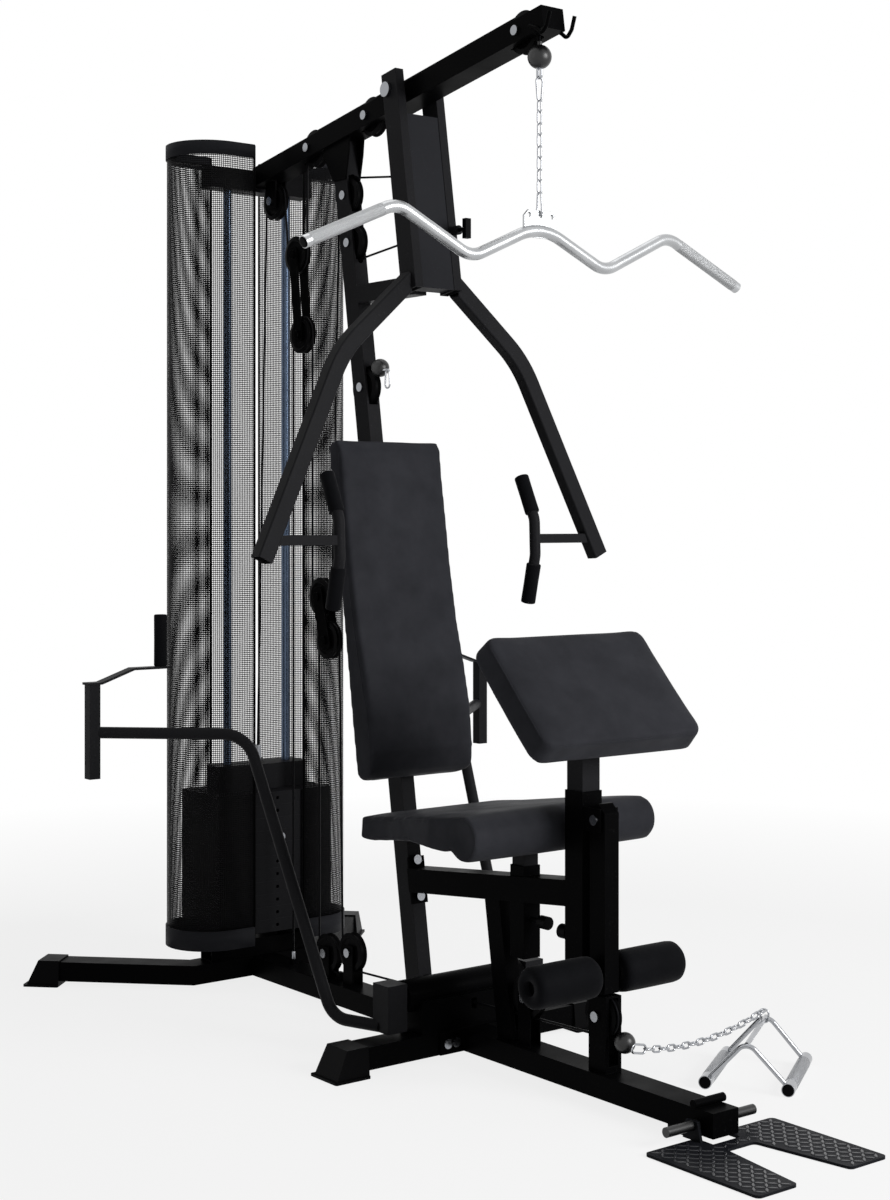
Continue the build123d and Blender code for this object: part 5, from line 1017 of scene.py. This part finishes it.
class GYM_OT_cables(bpy.types.Operator):
    """Makes the sheathed cables and the straight strands"""

    bl_idname = "gym.cables"
    bl_label = "Cables"

    def execute(self, context):
        run = sizes().cable_run
        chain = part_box("lat_chain")
        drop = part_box("stack_drop_cable")
        drop_y = drop[1].y - sizes().cable_radius
        lat = [((chain[0].y + chain[1].y) / 2, chain[1].z, 0), (*pulley("lat"), -1), (*pulley("beam_rear"), -1),
               (*pulley("strap_upper"), 1), (*pulley("tower"), -1), (drop_y, drop[0].z, 0)]
        upper, lower = [(PRESS_PIVOT[0] + PRESS_BACK + (z - PRESS_PIVOT[1]) * math.tan(UPRIGHT_LEAN), z, 0)
                        for z in PRESS_ANCHORS_Z]
        press = [(*STRAP_ANCHOR, 0), (*pulley("strap_lower"), 1), (*pulley("back_upper"), -1),
                 (*pulley("press_upper"), 1), upper]
        lower_y, lower_z = pulley("press_lower")
        press_low = [(lower_y + run, lower_z + 0.025, 0), (lower_y, lower_z, -1), lower]
        waist_y, waist_z = pulley("crunch")
        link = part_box("crunch_link")
        waist = [(waist_y + run, waist_z - 0.020, 0), (waist_y, waist_z, 1),
                 (link[1].y + CABLE_FIT, link[1].z - 0.020, 0)]
        low_y, low_z = pulley("low")
        row = [(low_y - LOW_BALL_AHEAD + BALL_RADIUS, low_z - run, 0), (low_y, low_z, 1), (*pulley("base_mid"), 1),
               (*pulley("base_front"), 1), (*pulley("back_lower"), -1), (*pulley("base_rear"), -1),
               (BASE_ANCHOR_Y, pulley("base_rear")[1] - run, 0)]
        runs = {"lat_cable": (lat, False, False), "press_cable": (press, True, False),
                "press_lower_cable": (press_low, True, False), "waist_cable": (waist, True, False),
                "row_cable": (row, False, True)}
        whole = None
        for name, (stops, first, last) in runs.items():
            shape = tube_mesh(held_run(stops, first, last), sizes().cable_radius, name, sides=3)
            piece = finished(shape, name, "cable_sheath", "frame")
            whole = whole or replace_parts(piece, "cables")
        moving = (("lat_strand", lat, 1, 0, "lat_bar"), ("stack_strand", lat, -2, -1, "stack"),
                  ("press_upper_strand", press, -2, -1, "press_frame"),
                  ("press_lower_strand", press_low, -2, -1, "press_frame"),
                  ("waist_strand", waist, -2, -1, "crunch_link"), ("row_strand", row, 1, 0, "low_row"))
        for name, stops, held, free, body in moving:
            meets = tangents(stops)
            piece = strand(name, meets[held][free], meets[free][0])
            if name == "stack_strand":
                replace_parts(piece, "stack_drop_cable")
        profile = [(-0.010, 0.0), (-0.010, 0.0036), (-0.008, 0.0042), (0.008, 0.0042), (0.010, 0.0036), (0.010, 0.0)]
        ferrules = [turned(profile, (0, y, z), (0, 0, 1), 20)
                    for y, z in ((STRAP_ANCHOR[0], STRAP_ANCHOR[1] + FERRULE_RISE), press_low[0][:2], waist[0][:2])]
        finished(joined(ferrules), "cable_ferrules", "zinc", "frame")
        return {"FINISHED"}


# ---------------------------------------------------------------- bars, handles and foot plate
def sleeve(start, end, radius, wall=0.0003):
    """A thin knurled sleeve between two points of a round bar."""
    start, end = Vector(start), Vector(end)
    half = (end - start).length / 2
    outer = radius + wall
    profile = [(-half, radius - 0.0005), (-half, outer - 0.0001), (-half + 0.0002, outer), (half - 0.0002, outer),
               (half, outer - 0.0001), (half, radius - 0.0005)]
    profile.append(profile[0])
    return turned(profile, (start + end) / 2, end - start, 40)


def plug(point, outward, radius, stand=0.002):
    """A domed plastic plug in the end of a tube."""
    profile = [(-0.003, 0.0), (-0.003, radius), (stand * 0.5, radius), (stand * 0.9, radius - 0.0008),
               (stand, radius * 0.55), (stand, 0.0)]
    return turned(profile, point, outward, 28)


class GYM_OT_bars(bpy.types.Operator):
    """Makes the knurled sleeves and end plugs of the lat bar and of the row handle"""

    bl_idname = "gym.bars"
    bl_label = "Knurled sleeves and plugs"

    def execute(self, context):
        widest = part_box("lat_bar")[1].x
        ends = [v.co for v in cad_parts["lat_bar"].data.vertices if v.co.x > widest - 0.004]
        y = sum(co.y for co in ends) / len(ends)
        sleeves, plugs = [], []
        for side in (-1, 1):
            end, peak = [Vector((side * x, y, z)) for x, z in (LAT_END, LAT_PEAK)]
            sleeves.append(sleeve(end.lerp(peak, 0.06), end.lerp(peak, 0.84), LAT_BAR_RADIUS))
            plugs.append(plug(end, end - peak, LAT_BAR_RADIUS - PLUG_GAP))
        finished(joined(sleeves), "lat_bar_sleeves", "knurled_steel", "lat_bar")
        finished(joined(plugs), "lat_bar_plugs", "moulded_plastic", "lat_bar")
        sleeves, plugs = [], []
        for near, far in ROW_GRIPS:
            a, b = Vector((*near, ROW_GRIP_RADIUS)), Vector((*far, ROW_GRIP_RADIUS))
            sleeves.append(sleeve(a.lerp(b, 0.14), a.lerp(b, 0.86), ROW_GRIP_RADIUS))
            plugs += [plug(tip, tip - other, ROW_GRIP_RADIUS - PLUG_GAP) for tip, other in ((a, b), (b, a))]
        finished(joined(sleeves), "row_handle_sleeves", "knurled_chrome", "low_row")
        finished(joined(plugs), "row_handle_plugs", "moulded_plastic", "low_row")
        return {"FINISHED"}


class GYM_OT_tread(bpy.types.Operator):
    """Makes the raised marks of the foot plate"""

    bl_idname = "gym.tread"
    bl_label = "Tread marks"

    def execute(self, context):
        low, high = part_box("foot_plate")
        pitch = sizes().tread_pitch
        step = pitch * MARK_ROWS
        back_y = low.y + PLATE_DEPTH
        shape = bmesh.new()
        row = 0
        y = low.y + pitch * 0.55
        while y < back_y - 0.008:
            bare = NOTCH_FRONT + (NOTCH_BACK - NOTCH_FRONT) * (y - low.y) / NOTCH_DEPTH + 0.011
            if y > low.y + NOTCH_DEPTH + 0.008:
                bare = BARE_HALF if y > back_y - BARE_DEPTH else 0.0
            for column in range(-12, 13):
                x = (column + 0.5) * step
                if not bare <= abs(x) <= high.x - 0.012:
                    continue
                angle = math.radians(45 if (column + row) % 2 else -45)
                here = Matrix.Translation((x, y, low.z + PLATE_THICKNESS - 0.0002)) @ Matrix.Rotation(angle, 4, "Z")
                here = here @ Matrix.Diagonal((MARK_LENGTH, MARK_WIDTH, 1.0, 1.0))
                bmesh.ops.create_circle(shape, cap_ends=True, radius=1.0, segments=12, matrix=here)
            y += step
            row += 1
        bmesh.ops.recalc_face_normals(shape, faces=shape.faces)
        for face in shape.faces:
            if face.normal.z < 0:
                face.normal_flip()
        grown = bmesh.ops.extrude_face_region(shape, geom=shape.faces[:], use_keep_orig=True)["geom"]
        verts = [v for v in grown if isinstance(v, bmesh.types.BMVert)]
        tops = [f for f in grown if isinstance(f, bmesh.types.BMFace)]
        bmesh.ops.translate(shape, verts=verts, vec=(0, 0, 0.0004))
        bmesh.ops.inset_individual(shape, faces=tops, thickness=0.0009, depth=sizes().tread_height - 0.0004)
        bmesh.ops.recalc_face_normals(shape, faces=shape.faces)
        finished(shape, "foot_plate_tread", "tread_marks", "foot_plate", smooth=False)
        return {"FINISHED"}


class GYM_OT_finishes(bpy.types.Operator):
    """Gives every carried-over part of the frame its finish"""

    bl_idname = "gym.finishes"
    bl_label = "Frame finishes"

    def execute(self, context):
        for finish, nodes in CAD_FINISHES.items():
            for name in nodes:
                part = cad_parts[name]
                if not part.material_slots:
                    part.data.materials.append(material(finish))
                for slot in part.material_slots:
                    slot.material = material(finish)
        return {"FINISHED"}


# ---------------------------------------------------------------- stage
def lamp(name, at, aim, side, power):
    """A soft square lamp."""
    light = bpy.data.lights.new(name, "AREA")
    light.shape, light.size, light.energy = "SQUARE", side, power
    holder = bpy.data.objects.new(name, light)
    bpy.context.scene.collection.objects.link(holder)
    holder.location = at
    holder.rotation_euler = (Vector(aim) - Vector(at)).to_track_quat("-Z", "Y").to_euler()


def seen_rays(tree):
    """1 for what the camera, a reflection or a clear surface sees."""
    path = place(tree, "LightPath").outputs
    either = math_node(tree, "MAXIMUM", path["Is Camera Ray"], path["Is Glossy Ray"])
    return math_node(tree, "MAXIMUM", either, path["Is Transmission Ray"])


class GYM_OT_stage(bpy.types.Operator):
    """Sets the floor, the white surroundings, the lamps and the camera"""

    bl_idname = "gym.stage"
    bl_label = "Stage"

    def execute(self, context):
        scene = context.scene
        stage = scene.gym_stage
        scene.view_settings.view_transform = "Standard"
        shape = bmesh.new()
        bmesh.ops.create_circle(shape, cap_ends=True, radius=FLOOR_RADIUS, segments=96)
        floor = bpy.data.objects.new("floor", bpy.data.meshes.new("floor"))
        shape.to_mesh(floor.data)
        shape.free()
        floor.location = (0, 0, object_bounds()[0][2] - FLOOR_DROP)
        scene.collection.objects.link(floor)
        made = bpy.data.materials.new("pale_floor")
        made.use_nodes = True
        tree = made.node_tree
        shader = tree.nodes["Principled BSDF"]
        shader.inputs["Base Color"].default_value = FLOOR_TONE
        shader.inputs["Roughness"].default_value = 0.9
        shader.inputs["Specular IOR Level"].default_value = 0.0
        split = place(tree, "SeparateXYZ", {0: place(tree, "TexCoord").outputs["Object"]}).outputs
        reach = math_node(tree, "SQRT", math_node(tree, "ADD", math_node(tree, "MULTIPLY", split[0], split[0]),
                                                  math_node(tree, "MULTIPLY", split[1], split[1])))
        share = remap(tree, reach, *GLOW_RADII, GLOW_LOW, 1.0)
        glow = place(tree, "Emission", {"Color": (1, 1, 1, 1), "Strength": 1.0}).outputs[0]
        mixed = place(tree, "MixShader", {0: math_node(tree, "MULTIPLY", share, seen_rays(tree)),
                                          1: shader.outputs[0], 2: glow}).outputs[0]
        tree.links.new(mixed, tree.nodes["Material Output"].inputs["Surface"])
        floor.data.materials.append(made)
        floor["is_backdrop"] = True

        world = bpy.data.worlds.new("white_room")
        world.use_nodes = True
        scene.world = world
        tree = world.node_tree
        daylight = tree.nodes["Background"]
        daylight.inputs["Color"].default_value = (1, 1, 1, 1)
        daylight.inputs["Strength"].default_value = stage.daylight
        white = place(tree, "Background", {"Color": (1, 1, 1, 1), "Strength": 1.0}).outputs[0]
        mixed = place(tree, "MixShader", {0: seen_rays(tree), 1: daylight.outputs[0], 2: white}).outputs[0]
        tree.links.new(mixed, tree.nodes["World Output"].inputs["Surface"])

        for name, (at, aim, side, share) in LAMPS.items():
            lamp(name, at, aim, side, stage.lamp_power * share)

        camera = bpy.data.objects.new("camera", bpy.data.cameras.new("camera"))
        scene.collection.objects.link(camera)
        camera.data.sensor_width = 36.0
        camera.data.lens = stage.camera_lens
        camera.data.shift_y = stage.camera_drop
        camera.location = stage.camera_place
        camera.rotation_euler = (math.pi / 2, 0, stage.camera_turn)
        scene.camera = camera
        return {"FINISHED"}


STEPS = (GYM_OT_stage, GYM_OT_cushions, GYM_OT_rollers, GYM_OT_grips, GYM_OT_shrouds, GYM_OT_cables, GYM_OT_bars,
         GYM_OT_tread, GYM_OT_finishes)


class GYM_PT_panel(bpy.types.Panel):
    """Sizes, colours and steps of the home gym's looks"""

    bl_idname = "GYM_PT_panel"
    bl_label = "Home Gym"
    bl_space_type = "VIEW_3D"
    bl_region_type = "UI"
    bl_category = "Home Gym"

    def draw(self, context):
        for group in (context.scene.gym_sizes, context.scene.gym_colours, context.scene.gym_stage):
            box = self.layout.box()
            for name in group.__annotations__:
                box.prop(group, name)
        for step in STEPS:
            self.layout.operator(step.bl_idname)


CLASSES = (GymSizes, GymColours, GymStage, *STEPS, GYM_PT_panel)


def register():
    """Registers the classes and hangs the settings on the scene."""
    for made in CLASSES:
        bpy.utils.register_class(made)
    bpy.types.Scene.gym_sizes = PointerProperty(type=GymSizes)
    bpy.types.Scene.gym_colours = PointerProperty(type=GymColours)
    bpy.types.Scene.gym_stage = PointerProperty(type=GymStage)


def unregister():
    """Takes the settings and the classes away again."""
    del bpy.types.Scene.gym_stage, bpy.types.Scene.gym_colours, bpy.types.Scene.gym_sizes
    for made in reversed(CLASSES):
        bpy.utils.unregister_class(made)


def main():
    """Runs every step in order."""
    register()
    for name in ("stage", "cushions", "rollers", "grips", "shrouds", "cables", "bars", "tread", "finishes"):
        getattr(bpy.ops.gym, name)()


if __name__ == "__main__":
    main()
